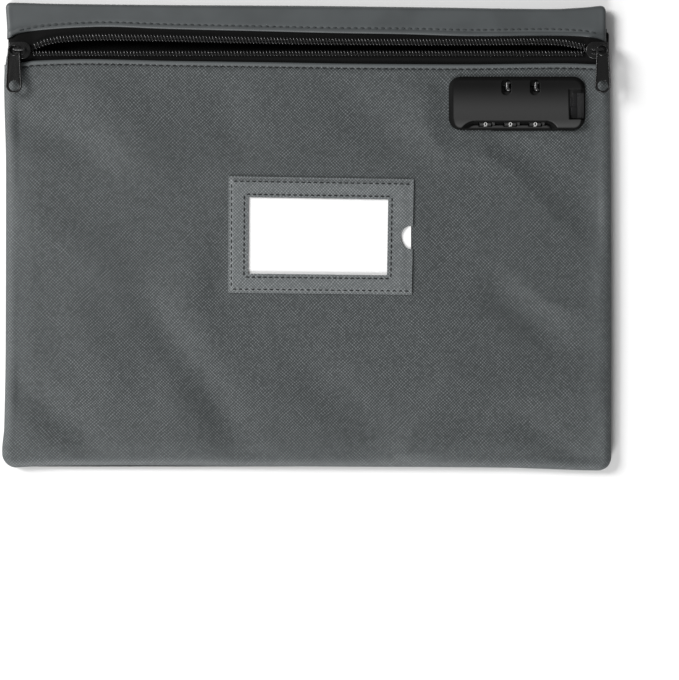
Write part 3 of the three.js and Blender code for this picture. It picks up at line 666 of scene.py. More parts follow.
def clear_film(name):
    """Thin clear film, not quite flat."""
    material = new_material(name, (1.0, 1.0, 1.0), 0.06, Alpha=0.06, IOR=1.4)
    nodes = Nodes(material)
    nodes.bump(nodes.noise(nodes.place(), 0.06, 1.0), 0.25, 0.3)
    return material


def thread(name, color):
    """Twisted sewing thread."""
    material = new_material(name, color, 0.75, Specular_IOR_Level=0.2)
    nodes = Nodes(material)
    twist = nodes.noise(nodes.scaled(nodes.turned(nodes.place(), 35), (3.0, 0.8, 1.0)), 1.6)
    nodes.color(nodes.shades(twist, 0.35, 0.65, color, 0.6, 1.35))
    nodes.bump(twist, 0.05, 0.6)
    return material


LEATHER = crosshatched_leather("slate crosshatched leather", (0.027, 0.0315, 0.0325), (0.170, 0.185, 0.190))
FRAME_LEATHER = crosshatched_leather("frame leather", (0.082, 0.090, 0.092), (0.285, 0.302, 0.309))
BAND_LEATHER = smooth_leather("band leather", (0.061, 0.0675, 0.070))
LINING = woven("black lining", (0.005, 0.005, 0.005), 0.7)
TAPE = woven("black zip tape", (0.006, 0.006, 0.006))
COIL = moulded("black nylon coil", (0.018, 0.018, 0.0185), 0.24, 0.01, 0.75)
BLACK_METAL = moulded("black painted metal", (0.005, 0.005, 0.005), 0.28, 0.01)
HOOK_METAL = moulded("glossy black plating", (0.020, 0.020, 0.020), 0.24, 0.004, 1.0)
LOCK_PLASTIC = moulded("satin black plastic", (0.007, 0.007, 0.007), 0.40, 0.008, 0.13)
# Painted light: the lock's face is painted lighter towards the bottom of the bag.
lighten_towards(LOCK_PLASTIC, 90.0, 72.0, (0.043, 0.043, 0.043))
RELEASE_PLASTIC = moulded("release plastic", (0.008, 0.008, 0.0085), 0.40, gloss=0.25)
DIAL_PLASTIC = moulded("dial plastic", (0.008, 0.008, 0.008), 0.40, gloss=0.3)
NUMBER_PAINT = moulded("number paint", (0.52, 0.52, 0.51), 0.5)
STEEL = metal("plain steel", (0.52, 0.52, 0.52), 0.32)
DARK_STEEL = metal("blackened steel", (0.020, 0.020, 0.020), 0.45, 0.5)
CARD_PAPER = paper("white card", (0.90, 0.90, 0.90))
FILM = clear_film("clear film")
DARK_THREAD = thread("dark grey thread", (0.014, 0.015, 0.016))
BAND_THREAD = thread("band thread", (0.045, 0.05, 0.052))
BLACK_THREAD = thread("black thread", (0.008, 0.008, 0.008))


def dress(obj, *materials):
    obj.data.materials.clear()
    for material in materials:
        obj.data.materials.append(material)
    return obj


def fit(obj, body, slot, *nodes):
    """The piece rides on its body and stands for its CAD nodes, which are hidden; slot is not used."""
    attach(obj, body)
    if nodes:
        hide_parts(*nodes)
    return obj


# ------------------------------------------------------------------ the pouch

def side_profile(radius, seam_z, side_z, face_z):
    """Arc length, inset and height from the seam up over the rounded side."""
    low = np.radians(np.linspace(90, 0, 5))
    high = np.radians(np.linspace(0, 90, 15))
    inset = np.concatenate([1.2 * (1 - np.cos(low)), radius * 0.8 * (1 - np.cos(high))[1:], [radius]])
    height = np.concatenate([
        side_z + (seam_z - side_z) * np.sin(low),
        side_z + (face_z - side_z) * np.sin(high)[1:],
        [face_z],
    ])
    length = np.concatenate([[0], np.cumsum(np.hypot(np.diff(inset), np.diff(height)))])
    return length, inset, height


def side_rows(total):
    """Rows set close together over a rounded side and a little way past it."""
    return np.concatenate([steps(0, total, 0.9), steps(total, total + 6, 1.5)[1:]])


def span_rows(half, side, size):
    """Rows from one rounded side to the other, about size apart in between."""
    between = steps(side[-1] - half, half - side[-1], size)[1:-1]
    return np.concatenate([side - half, between, half - side[::-1]])


def round_edge(in_x, in_y, radius, profile):
    """Ring distance from the seam, the way out in x and y, and the height, at a rounded edge.

    in_x and in_y say how far a point of the flat sheet lies inside each rounded strip.
    """
    length, inset, height = profile
    ring = length[-1] - np.maximum(in_x, in_y)
    reach = (radius - np.interp(ring, length, inset)) / np.maximum(np.hypot(in_x, in_y), 1e-9)
    return ring, reach * in_x, reach * in_y, np.interp(ring, length, height)


def shell_grid(round_y, hem_y, radius):
    """Points of a sheet with three rounded sides and a fourth that ends in a folded hem.

    round_y is the far rounded edge and hem_y the hem, both before the outline wanders.
    Returns x, y, z, the flat coordinates, the ring distance from the seam and the hem fold.
    """
    profile = side_profile(radius, SEAM_Z, SIDE_Z, FACE_Z)
    total = profile[0][-1]
    level = BAG_HALF_WIDTH - radius
    side = side_rows(total)
    across = span_rows(level + total, side, 2.0)
    hem = total + abs(hem_y - round_y) - radius - HEM_ROWS
    hem = hem[hem > total + 1]
    start = side[side < hem[0] - 0.7]
    wrap = math.pi * HEM_RADIUS
    curl = np.concatenate([steps(0, wrap, wrap / 8)[1:], wrap + steps(0, HEM_RETURN, 1.8)[1:]])
    down = np.concatenate([start, steps(start[-1], hem[0], 2.0)[1:-1], hem, np.full(len(curl), hem[-1])])
    fold = np.concatenate([np.zeros(len(down) - len(curl)), curl])

    p, q = np.meshgrid(across, down)
    fold = np.repeat(fold[:, None], len(across), axis=1)
    in_side = np.maximum(np.abs(p) - level, 0)
    in_round = np.maximum(total - q, 0)
    ring, out_x, out_y, z = round_edge(in_side, in_round, radius, profile)
    sense = np.sign(hem_y - round_y)
    x = np.sign(p) * (np.minimum(np.abs(p), level) + out_x)
    y = round_y + sense * (radius + np.maximum(q - total, 0) - out_y)
    flat = np.stack([p, sense * (q + fold), np.zeros_like(p)], axis=-1)
    return x, y, z, flat, ring, fold


def wander(x, y):
    """Moves nominal points so that the outline follows the lying bag's edges."""
    left = smoothstep((-x - 60) / 117)
    right = smoothstep((x - 60) / 117)
    low = smoothstep((-y - 40) / 95)
    high = smoothstep((y - 100) / 36)
    new_x = x + left * left_edge(y) + right * right_edge(y)
    new_y = y + low * bottom_edge(x) + high * top_edge(x)
    return new_x, new_y


def fold_hem(y, z, fold, sense):
    """Curls the rows past the folded edge round and back under the sheet; sense is the hem's way in y."""
    angle = np.clip(fold / HEM_RADIUS, 0, math.pi)
    back = np.maximum(fold - math.pi * HEM_RADIUS, 0)
    y = y + sense * (HEM_RADIUS * np.sin(angle) - back)
    z = z - HEM_RADIUS * (1 - np.cos(angle))
    return y, z


def leather_sheet(name, x, y, z, flat, faces, leather, rim=None):
    """A sheet of leather with black lining on its inner side."""
    obj = mesh_object(name, grid_points(x, y, z), faces, flat.reshape(-1, 3), rim=rim)
    dress(obj, leather, LINING)
    return thicken(obj, inner_slot=1)


def hem_relief(inside, fold, x):
    """Bead at a folded edge, and the groove that its stitches pull in."""
    bead = 0.3 * np.exp(-(((inside - 1.3) / 0.9) ** 2))
    pull = 0.75 + 0.25 * np.cos(2 * math.pi * x / STITCH_PITCH)
    groove = -0.5 * pull * np.exp(-(((inside - STITCH_INSET) / 0.55) ** 2))
    puff = 0.25 * np.exp(-(((inside - STITCH_INSET - 2.2) / 1.5) ** 2))
    return (bead + groove + puff) * (fold == 0)


def hem_rim(inside, fold):
    """Marks the smooth bead of a folded edge for a painted highlight."""
    return np.maximum(smoothstep((2.4 - inside) / 0.7), fold > 0)


def front_height(x, y, ring, inside):
    """Height added to the front's level at each point, with the hem kept tidy."""
    settled = smoothstep((ring - 3) / 16)
    return face_relief(x, y) * settled * (0.35 + 0.65 * smoothstep((inside - 2) / 16))


def front_panel():
    x, y, z, flat, ring, fold = shell_grid(-BAG_HALF_HEIGHT, PANEL_EDGE_Y, PANEL_CORNER)
    inside = PANEL_EDGE_Y - y
    new_x, new_y = wander(x, y)
    new_y = new_y + (panel_edge(new_x) - PANEL_EDGE_Y) * smoothstep(1 - inside / 70)
    z = z + front_height(new_x, new_y, ring, inside)
    z = z + hem_relief(inside, fold, x) * smoothstep((ring - 2) / 6)
    new_y, z = fold_hem(new_y, z, fold, 1)

    def outside_lock(r, c):
        """Leaves out the leather that was cut away under the lock."""
        mid_x = (new_x[r, c] + new_x[r + 1, c + 1]) / 2
        mid_y = (new_y[r, c] + new_y[r + 1, c + 1]) / 2
        in_x = (mid_x > LOCK_LOW[0] + 4.5) & (mid_x < LOCK_HIGH[0] - 4.5)
        return ~(in_x & (mid_y > LOCK_LOW[1] + 1.5) & (mid_y < LOCK_HIGH[1] - 4.5))

    faces = grid_faces(*x.shape, outside_lock)
    rim = hem_rim(inside, fold)
    obj = leather_sheet("front_panel_leather", new_x, new_y, z, flat, faces, LEATHER, rim)
    return fit(obj, "bag", "leather", "front_panel")


def band_weight(x):
    """How far the band's edge follows the closing lip."""
    return np.clip((header_edge(x) - CLOSED_ROW_Y - BAND_GAP) / LIP_TRAVEL, 0, 1)


def header_weight(x, y):
    """How far a point of the band follows the closing lip: all at its edge, none at the fold."""
    top = BAG_HALF_HEIGHT - 3
    return band_weight(x) * smoothstep((top - y) / (top - header_edge(x)))


def bend_with_lip(obj, slot, weight, *nodes):
    """Bakes the piece's placing and hides the CAD nodes it stands for.

    weight(x, y) says how far each point would follow the closing lip of the zip; the weights are worked out
    and not kept.
    """
    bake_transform(obj)
    points = mesh_points(obj)
    weights = weight(points[:, 0], points[:, 1])
    np.asarray(weights, np.float32)
    if nodes:
        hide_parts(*nodes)
    return obj


def header_band():
    x, y, z, flat, ring, fold = shell_grid(BAG_HALF_HEIGHT, HEADER_EDGE_Y, BAND_CORNER)
    inside = y - HEADER_EDGE_Y
    new_x, new_y = wander(x, y)
    new_y = new_y + (header_edge(new_x) - HEADER_EDGE_Y) * smoothstep(1 - inside / 16)
    swell = 0.5 * np.sin(x / 46 + 1.0) - 0.4 * smoothstep((np.abs(x) - 120) / 50)
    z = z + (swell - 0.5) * smoothstep((ring - 1) / 7)
    z = z + hem_relief(inside, fold, x) * 0.7 * smoothstep((ring - 2) / 6)
    new_y, z = fold_hem(new_y, z, fold, -1)
    faces = grid_faces(*x.shape)[:, ::-1]
    rim = hem_rim(inside, fold)
    obj = leather_sheet("header_band_leather", new_x, new_y, z, flat, faces, BAND_LEATHER, rim)
    return bend_with_lip(obj, "band_leather", header_weight, "header_band")


def back_panel():
    """The back: rounded on all four sides, flat on the floor, black lining inside."""
    profile = side_profile(PANEL_CORNER, SEAM_Z - 0.1, SEAM_Z - 0.8, 0.0)
    total = profile[0][-1]
    level_x, level_y = BAG_HALF_WIDTH - PANEL_CORNER, BAG_HALF_HEIGHT - PANEL_CORNER
    p, q = np.meshgrid(*(span_rows(level + total, side_rows(total), 4.0) for level in (level_x, level_y)))
    in_x = np.maximum(np.abs(p) - level_x, 0)
    in_y = np.maximum(np.abs(q) - level_y, 0)
    ring, out_x, out_y, z = round_edge(in_x, in_y, PANEL_CORNER, profile)
    x = np.sign(p) * (np.minimum(np.abs(p), level_x) + out_x)
    y = np.sign(q) * (np.minimum(np.abs(q), level_y) + out_y)
    x, y = wander(x, y)
    wave = 0.25 * (1 + np.sin(x / 37 + 0.6 * np.sin(y / 23)) * np.sin(y / 29 + 0.5))
    z = z + wave * smoothstep((ring - total) / 20)
    flat = np.stack([p, q, np.zeros_like(p)], axis=-1)
    obj = leather_sheet("back_panel_leather", x, y, z, flat, grid_faces(*p.shape)[:, ::-1], LEATHER)
    return fit(obj, "bag", "leather", "back_panel")


def stitch_row(path, pitch, length):
    """(points, faces) pairs: one bowed stitch at each pitch along a path of points."""
    path = np.asarray(path, float)
    travel = np.concatenate([[0], np.cumsum(np.linalg.norm(np.diff(path, axis=0), axis=1))])
    count = int(travel[-1] // pitch)
    start = (travel[-1] - count * pitch) / 2 + pitch / 2
    parts = []
    for i in range(count):
        middle = start + i * pitch
        t = middle + length * np.linspace(-0.5, 0.5, 7)
        spots = np.stack([np.interp(t, travel, path[:, k]) for k in range(3)], axis=1)
        spots[:, 2] += THREAD_RADIUS * (1.1 * np.cos(np.linspace(-1.35, 1.35, 7)) - 0.55)
        parts.append(tube(spots, THREAD_RADIUS, 6))
    return parts


def heights_on(obj, x, y):
    """Height of the sheet's upper side at each place."""
    form = bmesh.new()
    form.from_mesh(obj.data)
    tree = BVHTree.FromBMesh(form)
    form.free()
    heights = []
    for place in zip(x, y):
        hit, *_ = tree.ray_cast(Vector((*place, 50)) * MM, Vector((0, 0, -1)))
        heights.append(hit.z / MM if hit is not None else FACE_Z)
    return np.array(heights)


def row_on(obj, x, y, length):
    """A row of stitches laid on a sheet along a line seen from above."""
    z = np.convolve(np.pad(heights_on(obj, x, y), 2, mode="edge"), np.ones(5) / 5, mode="valid")
    return stitch_row(np.stack([x, y, z], axis=1), STITCH_PITCH, length)


def panel_stitches(panel):
    x = steps(5 - BAG_HALF_WIDTH, BAG_HALF_WIDTH - 6, 1.0)
    obj = join_meshes("panel_edge_stitches", row_on(panel, x, panel_edge(x) - STITCH_INSET, 2.3))
    return fit(dress(obj, DARK_THREAD), "bag", "leather")


def header_stitches(band):
    x = steps(6 - BAG_HALF_WIDTH, BAG_HALF_WIDTH - 7, 1.0)
    obj = join_meshes("band_edge_stitches", row_on(band, x, header_edge(x) + STITCH_INSET, 2.4))
    return bend_with_lip(dress(obj, BAND_THREAD), "band_leather", header_weight)


# ------------------------------------------------------------------ the zip

def lower_row(x):
    return np.full_like(np.asarray(x, float), LOWER_ROW_Y)


def row_weight(x, y=None):
    """How far the upper row follows the closing lip."""
    return np.clip((upper_row(x) - CLOSED_ROW_Y) / LIP_TRAVEL, 0, 1)


def lip_weight(x, y):
    """Between the coil and the band, the tape passes from the coil's travel to the band's."""
    share = smoothstep((y - upper_row(x)) / np.maximum(header_edge(x) - upper_row(x), 1.0))
    return row_weight(x) * (1 - share) + band_weight(x) * share


def tape_sheet(name, near, far, sense):
    """A strip from the coil (near) to under the leather (far), its ends tucked in the seam."""
    x = steps(-BAG_HALF_WIDTH + 1.6, BAG_HALF_WIDTH - 1.6, 1.6)
    t = np.linspace(0, 1, 11)
    grid_x, grid_t = np.meshgrid(x, t)
    inner = near(grid_x)
    y = inner + (far(grid_x) - inner) * grid_t
    z = TAPE_Z - 1.0 * smoothstep((grid_t - 0.35) / 0.4)
    tuck = smoothstep((np.abs(grid_x) - (BAG_HALF_WIDTH - 7)) / 6)
    z = z + (SEAM_Z + 0.4 - z) * tuck
    points = grid_points(grid_x, y, z)
    faces = grid_faces(*grid_x.shape)
    obj = mesh_object(name, points, faces if sense > 0 else faces[:, ::-1])
    dress(obj, TAPE)
    return thicken(obj, 0.45)


def coil_row(name, centre, phase, half_width, lean=0.0):
    """A flattened helix of nylon wire that follows the row's centre line."""
    per_turn = 14
    count = int(2 * ROW_HALF_LENGTH / COIL_PITCH) * per_turn
    angle = 2 * math.pi * np.arange(count + 1) / per_turn
    x = -ROW_HALF_LENGTH + COIL_PITCH * (angle / (2 * math.pi) + phase)
    y = centre(x) + half_width * np.sign(np.cos(angle)) * np.abs(np.cos(angle)) ** 0.8
    x = x - lean * np.cos(angle)
    z = COIL_Z + COIL_HALF_HEIGHT * np.sin(angle)
    wire = tube(np.stack([x, y, z], axis=1), COIL_WIRE, 6, np.array([1.0, 0, 0]))
    return dress(join_meshes(name, [wire]), COIL)


def coil_seam(name, centre, sense):
    """The cord inside a coil, and the two lines of chain stitch that hold the coil to its tape."""
    x = steps(1 - ROW_HALF_LENGTH, ROW_HALF_LENGTH - 1, 0.8)
    core_z = np.full(len(x), COIL_Z - 0.1)
    chain_z = COIL_Z + COIL_HALF_HEIGHT * 0.9 + 0.16 + 0.12 * np.cos(2 * math.pi * x / COIL_PITCH)
    cores = [tube(np.stack([x, centre(x) + shift, core_z], axis=1), 0.45) for shift in (-0.55, 0.55)]
    chains = [
        tube(np.stack([x, centre(x) + sense * inset, chain_z], axis=1), 0.2, 6) for inset in (0.35, 1.05)
    ]
    return dress(join_meshes(name, cores + chains), BLACK_THREAD)


def zipper():
    tape = tape_sheet("lower_tape_cloth", lambda x: lower_row(x) + 0.9, lambda x: panel_edge(x) - 6, 1)
    fit(tape, "bag", "tape", "zipper_tape_lower")
    tape = tape_sheet("upper_tape_cloth", lambda x: upper_row(x) - 0.9, lambda x: header_edge(x) + 6, -1)
    bend_with_lip(tape, "tape", lip_weight, "zipper_tape_upper")
    lower, upper = COIL_HALF_WIDTH["lower"], COIL_HALF_WIDTH["upper"]
    fit(coil_row("lower_coil", lower_row, 0.0, lower), "bag", "coil", "zipper_chain_lower")
    fit(coil_seam("lower_coil_thread", lower_row, -1), "bag", "tape")
    coil = coil_row("upper_coil", lambda x: upper_row(x) + upper - lower, 0.5, upper, COIL_LEAN)
    bend_with_lip(coil, "coil", row_weight, "zipper_chain_upper")
    bend_with_lip(coil_seam("upper_coil_thread", upper_row, 1), "tape", row_weight)


SLIDER_LOW, SLIDER_HIGH = node_box("slider_left")
PULL_LOW, PULL_HIGH = node_box("pull_left")


def slider_parts():
    """The slider about its own middle, its nose towards +X: two plates, side flanges and a bail."""
    half = (SLIDER_HIGH[0] - SLIDER_LOW[0]) / 2
    nose = (SLIDER_HIGH[1] - SLIDER_LOW[1]) / 2
    tail = 4.9
    corner = 1.2
    body = np.concatenate([
        arc(corner - half, corner - tail, corner, 180, 262, 5),
        arc(half - nose, 0, nose, -88, 88, 18),
        arc(corner - half, tail - corner, corner, 98, 180, 5),
    ])
    bottom_z = SLIDER_LOW[2]
    top_z = 10.2
    parts = [
        plate([body], bottom_z, bottom_z + 1.1, 0.3),
        plate([body], top_z - 1.2, top_z, 0.45, 4),
        plate([body * [0.62, 0.52]], top_z - 0.2, top_z + 0.45, 0.3, 4),
    ]
    for y0, y1 in ((-tail, -4.35), (4.35, tail)):
        parts.append(plate([rounded_rect(-half, 0.4, y0, y1, 0.2)], 7.1, top_z - 0.3, 0.1, 2))
    wire = 0.75
    top = SLIDER_HIGH[2] - wire
    bail = [
        (-3.1, 9.8), (-3.1, 11.2), (-3.1, 12.4), (-2.9, 12.85), (-2.4, top), (-0.8, top),
        (1.2, top), (2.7, top), (3.2, 12.85), (3.4, 12.4), (3.4, 11.2), (3.4, 9.8),
    ]
    parts.append(tube([(x, 0, z) for x, z in bail], wire, 12))
    return parts


def pull_parts():
    """A pull tab about its pivot, hanging towards -Y: thin web, raised rims, holed end."""
    bottom, top = PULL_LOW[2], PULL_HIGH[2]
    eye, end = 3.6, 4.65
    end_y, hole_y = -20.6, -20.9
    wire = 0.42
    slope = math.degrees(math.atan2(end - eye, -end_y))
    outline = np.concatenate([
        arc(0, 0, eye, -slope, 180 + slope, 24),
        arc(0, end_y, end, 180 + slope, 360 - slope, 24),
    ])
    web = plate([outline, circle(0, 0, 2.35), circle(0, hole_y, 3.0)], bottom, top - 0.5, 0.2)
    eye_ring = plate([circle(0, 0, eye), circle(0, 0, 2.35)], bottom, top, 0.3)
    rim = np.concatenate([
        arc(0, 0, eye - wire, 210, 180 + slope, 3),
        arc(0, end_y, end - wire, 180 + slope, 360 - slope, 24),
        arc(0, 0, eye - wire, -slope, -30, 3),
    ])
    rim = np.column_stack([rim, np.full(len(rim), top - wire)])
    return [web, eye_ring, tube(rim, wire, 10)]


def sliders():
    for side, sense in (("left", -1), ("right", 1)):
        centre_x = node_middle(f"slider_{side}")[0]
        turn = Matrix.Rotation(math.pi if sense > 0 else 0, 4, "Z")
        body = [moved(part, centre_x, ZIP_Y, 0, turn) for part in slider_parts()]
        slider = soften(dress(join_meshes(f"{side}_slider_body", body), BLACK_METAL))
        fit(slider, f"{side}_slider", "black_metal", f"slider_{side}")
        tab = [moved(part, centre_x + sense * 3.1, ZIP_Y) for part in pull_parts()]
        pull = soften(dress(join_meshes(f"{side}_pull_tab", tab), BLACK_METAL))
        fit(pull, f"{side}_pull", "black_metal", f"pull_{side}")


# ------------------------------------------------------------------ the card pocket

WINDOW = ((-35.1, -21.7), (46.9, 23.3))
NOTCH = ((60.9, 1.0), (6.3, 6.9))  # centre and half sizes of the thumb notch
# Rows of stitches: lowest and highest corner, pitch, and whether the right side is sewn too.
FRAME_SEAMS = (((-44.9, -31.0), (60.5, 32.6), 3.6, False), ((-37.5, -23.8), (49.1, 25.0), 3.4, True))


def lying(x, y):
    """The frame was sewn a little out of square."""
    u = (x - FRAME_LOW[0]) / (FRAME_HIGH[0] - FRAME_LOW[0])
    v = (y - FRAME_LOW[1]) / (FRAME_HIGH[1] - FRAME_LOW[1])
    new_x = x - (1 - v) * (0.3 + 0.9 * u)
    new_y = y + (1 - v) * (0.4 - 1.2 * u) - 1.8 * u * v
    return new_x, new_y


def frame_height(x, y):
    """Sewn down along three sides, and lifted off the card everywhere else."""
    seam = np.minimum(np.minimum(x - FRAME_LOW[0], y - FRAME_LOW[1]), FRAME_HIGH[1] - y)
    lift = smoothstep((seam - 1.2) / 1.6)
    droop = 0.42 * smoothstep((x - 55) / 5)
    ripple = 0.06 * np.sin(x / 11 + 1) * np.sin(y / 7)
    return FRAME_HIGH[2] - 0.42 - droop - (0.75 - droop) * (1 - lift) + ripple


def frame_grid():
    """x and y of the frame's points, and the quads left out for the window and the notch.

    Points on the notch's edge are moved onto its curve.
    """
    (x0, y0), (x1, y1) = WINDOW
    columns = np.unique(np.concatenate([
        steps(FRAME_LOW[0], x0, 0.6), steps(x0, x1, 1.2), steps(x1, FRAME_HIGH[0], 0.5),
    ]))
    rows = np.unique(np.concatenate([
        steps(FRAME_LOW[1], y0, 0.6), steps(y0, y1, 0.6), steps(y1, FRAME_HIGH[1], 0.6),
    ]))
    x, y = np.meshgrid(columns, rows)
    (notch_x, notch_y), (reach_x, reach_y) = NOTCH
    mid_x = (x[:-1, :-1] + x[1:, 1:]) / 2
    mid_y = (y[:-1, :-1] + y[1:, 1:]) / 2
    in_window = (mid_x > x0) & (mid_x < x1) & (mid_y > y0) & (mid_y < y1)
    in_notch = np.hypot((mid_x - notch_x) / reach_x, (mid_y - notch_y) / reach_y) < 1
    spread = np.pad(in_notch, 1).astype(int)
    touching = spread[:-1, :-1] + spread[1:, :-1] + spread[:-1, 1:] + spread[1:, 1:]
    on_edge = (touching > 0) & (touching < 4)
    away_x, away_y = (x - notch_x) / reach_x, (y - notch_y) / reach_y
    distance = np.maximum(np.hypot(away_x, away_y), 1e-9)
    x = np.where(on_edge, notch_x + away_x / distance * reach_x, x)
    y = np.where(on_edge, notch_y + away_y / distance * reach_y, y)
    return x, y, in_window | in_notch


def frame_stitches():
    for (x0, y0), (x1, y1), pitch, right_too in FRAME_SEAMS:
        lines = [((x0, y1), (x1, y1)), ((x0, y0), (x1, y0)), ((x0, y0), (x0, y1))]
        if right_too:
            lines.append(((x1, y0), (x1, y1)))
        for start, end in lines:
            x, y = np.linspace(start, end, 60).T
            path = np.stack([*lying(x, y), frame_height(x, y)], axis=1)
            yield from stitch_row(path, pitch, 1.8)


def card_frame():
    x, y, left_out = frame_grid()
    points = grid_points(*lying(x, y), frame_height(x, y))
    faces = grid_faces(*x.shape, lambda r, c: ~left_out[r, c])
    obj = mesh_object("card_frame_leather", points, faces, points * [1, 1, 0])
    soften(thicken(dress(obj, FRAME_LEATHER)), 50)
    fit(obj, "bag", "frame_leather", "card_frame")
    stitches = join_meshes("card_frame_stitches", frame_stitches())
    fit(dress(stitches, DARK_THREAD), "bag", "frame_leather")


# ------------------------------------------------------------------ the combination lock

LOCK_MIDDLE = node_middle("lock_housing")
LOCK_HALF = (LOCK_HIGH - LOCK_LOW) / 2
LOCK_CORNER = 7.0
LOCK_BASE_Z = 8.1  # underside of the moulded shell
DIALS = {f"dial_{word}": node_middle(f"dial_{i}") for i, word in enumerate(("one", "two", "three"), 1)}
DIAL_RADIUS = (node_box("dial_1")[1][2] - node_box("dial_1")[0][2]) / 2
DIAL_HALF_WIDTH = 3.5
DIAL_SIDES = 10
DIAL_FLAT = math.cos(0.36 * 2 * math.pi / DIAL_SIDES)  # from a corner of a side to its middle
SHOWN_TILT = 31.0  # the shown numbers face up and, by this angle, towards the bottom of the bag
# The dials from the lock's middle.
DIAL_X = [centre[0] - LOCK_MIDDLE[0] for centre in DIALS.values()]
DIAL_Y = DIALS["dial_two"][1] - LOCK_MIDDLE[1]
DIAL_Z = DIALS["dial_two"][2]
FACE_LOW_Z = 10.35
FACE_RISE = 2.65  # how much higher the face is beside the dials
FACE_FALL = 1.8  # how far it drops again below them
RECESS_Z = 9.75
LEDGE_Z = 10.65
SHOULDER = 0.75  # the narrow step along the upper edge of the recess
SHOULDER_Z = 12.8
SHOULDER_X = (-25, 17)
DIP_REACH = 4.3  # half length of the scoop in the ledge before each dial
DIP = 0.45
BEVEL_Z = LOCK_BASE_Z + 0.8  # where the bevel starts on the housing's sides

HOOK_LEFT_X = [node_box(f"latch_hook_{side}")[0][0] for side in ("left", "right")]

# Upper edge of the recess that shows the dials, and of the ledge in front of them.
recess_edge = smooth_line((-35.5, -17.5), (-33.0, -15.4), (-30.6, -13.1), (-27.8, -11.6), (-25.2, -11.0),
                          (17.0, -11.0), (19.6, -11.6), (22.0, -13.3), (24.5, -16.2), (26, -17.5))
ledge_edge = smooth_line((-29.5, -17.2), (-27.9, -14.9), (-26.2, -13.6), (-24.6, -13.2),
                         (17.0, -13.2), (18.6, -13.8), (20.1, -15.2), (21.2, -17.2))


def outline_distance(x, y):
    """How far a point is inside the lock's rounded outline."""
    dx = np.abs(x) - (LOCK_HALF[0] - LOCK_CORNER)
    dy = np.abs(y) - (LOCK_HALF[1] - LOCK_CORNER)
    outside = np.hypot(np.maximum(dx, 0), np.maximum(dy, 0))
    return LOCK_CORNER - outside - np.minimum(np.maximum(dx, dy), 0)


def rim_width(y):
    """The bevel round the face is narrow along the ledge at the bottom."""
    return 1.0 + 1.7 * smoothstep((y + LOCK_HALF[1]) / 6)


def lock_top(x, y, drop=0.0):
    """The housing's upper surface: a bevelled rim round a face that climbs towards the dials."""
    climb = np.clip((12.0 - y) / 22.5, 0, 1.0)
    face = FACE_LOW_Z + FACE_RISE * climb**2.6 - FACE_FALL * smoothstep((-11.2 - y) / 5)
    in_recess = smoothstep((recess_edge(x) - y) / 0.9 + 0.5)
    shoulder = smoothstep((y - recess_edge(x) + SHOULDER) / 0.3 + 0.5)
    shoulder = shoulder * (x > SHOULDER_X[0]) * (x < SHOULDER_X[1])
    dips = np.zeros_like(x)
    for dial_x in DIAL_X:
        dips = np.maximum(dips, np.sqrt(np.clip(1 - ((x - dial_x) / DIP_REACH) ** 2, 0, 1)))
    on_ledge = smoothstep((ledge_edge(x) - DIP * dips - y) / 0.5 + 0.5)
    floor_z = RECESS_Z + (LEDGE_Z - RECESS_Z) * on_ledge
    floor_z = floor_z + (SHOULDER_Z - floor_z) * shoulder
    height = face + (floor_z - face) * in_recess
    bevel = np.clip(outline_distance(x, y) / rim_width(y), 0, 1)
    return BEVEL_Z + (height - BEVEL_Z) * np.sin(bevel * math.pi / 2) ** 0.9 - drop


def height_block(x0, x1, y0, y1, size, top, bottom):
    """(points, faces) of a closed block whose upper side is a height function."""
    x, y = np.meshgrid(steps(x0, x1, size), steps(y0, y1, size))
    rows, columns = x.shape
    base = rows * columns
    upper = grid_points(x, y, top(x, y))
    lower = grid_points(x, y, np.full_like(x, bottom))
    faces = grid_faces(rows, columns).tolist()
    faces += [[base + i for i in reversed(face)] for face in faces]
    number = np.arange(base).reshape(rows, columns)
    edge = [*number[0], *number[1:, -1], *number[-1, -2::-1], *number[-2:0:-1, 0]]
    for a, b in zip(edge, edge[1:] + edge[:1]):
        faces.append([b, a, base + a, base + b])
    return np.concatenate([upper, lower]), faces


def carve(obj, operation, *tools):
    """Cuts or joins solids, given as (points, faces) pairs, with the object."""
    for tool in tools:
        other = join_meshes("tool", [tool], shade=False)
        modifier = obj.modifiers.new("cut", "BOOLEAN")
        modifier.operation = operation
        modifier.solver = "EXACT"
        modifier.object = other
        apply_modifiers(obj)
        bpy.data.objects.remove(other)
    return obj


def mould(obj, voxel, passes):
    """Rounds every edge slightly, as a moulding has it."""
    remesh = obj.modifiers.new("remesh", "REMESH")
    remesh.mode = "VOXEL"
    remesh.voxel_size = voxel * MM
    apply_modifiers(obj)
    smooth = obj.modifiers.new("smooth", "SMOOTH")
    smooth.factor = 0.5
    smooth.iterations = passes
    apply_modifiers(obj)
    obj.data.polygons.foreach_set("use_smooth", [True] * len(obj.data.polygons))
    return obj


def block(x0, x1, y0, y1, z0, z1):
    """(points, faces) of a cutter with square corners."""
    x, y, z = np.meshgrid([x0, x1], [y0, y1], [z0, z1], indexing="ij")
    points = grid_points(x, y, z)
    faces = [[0, 1, 3, 2], [4, 6, 7, 5], [0, 4, 5, 1], [2, 3, 7, 6], [0, 2, 6, 4], [1, 5, 7, 3]]
    return points, faces


def flat_ended(low, high):
    """(points, faces) of a cutter between two equal rings, anticlockwise when seen from the high one."""
    count = len(low)
    faces = [list(range(count))[::-1], [count + i for i in range(count)]]
    faces += [[i, (i + 1) % count, count + (i + 1) % count, count + i] for i in range(count)]
    return np.concatenate([low, high]), faces


def prism(loop, z0, z1):
    """(points, faces) of an upright cutter with a flat top and bottom."""
    return flat_ended(*(np.column_stack([loop, np.full(len(loop), z)]) for z in (z0, z1)))


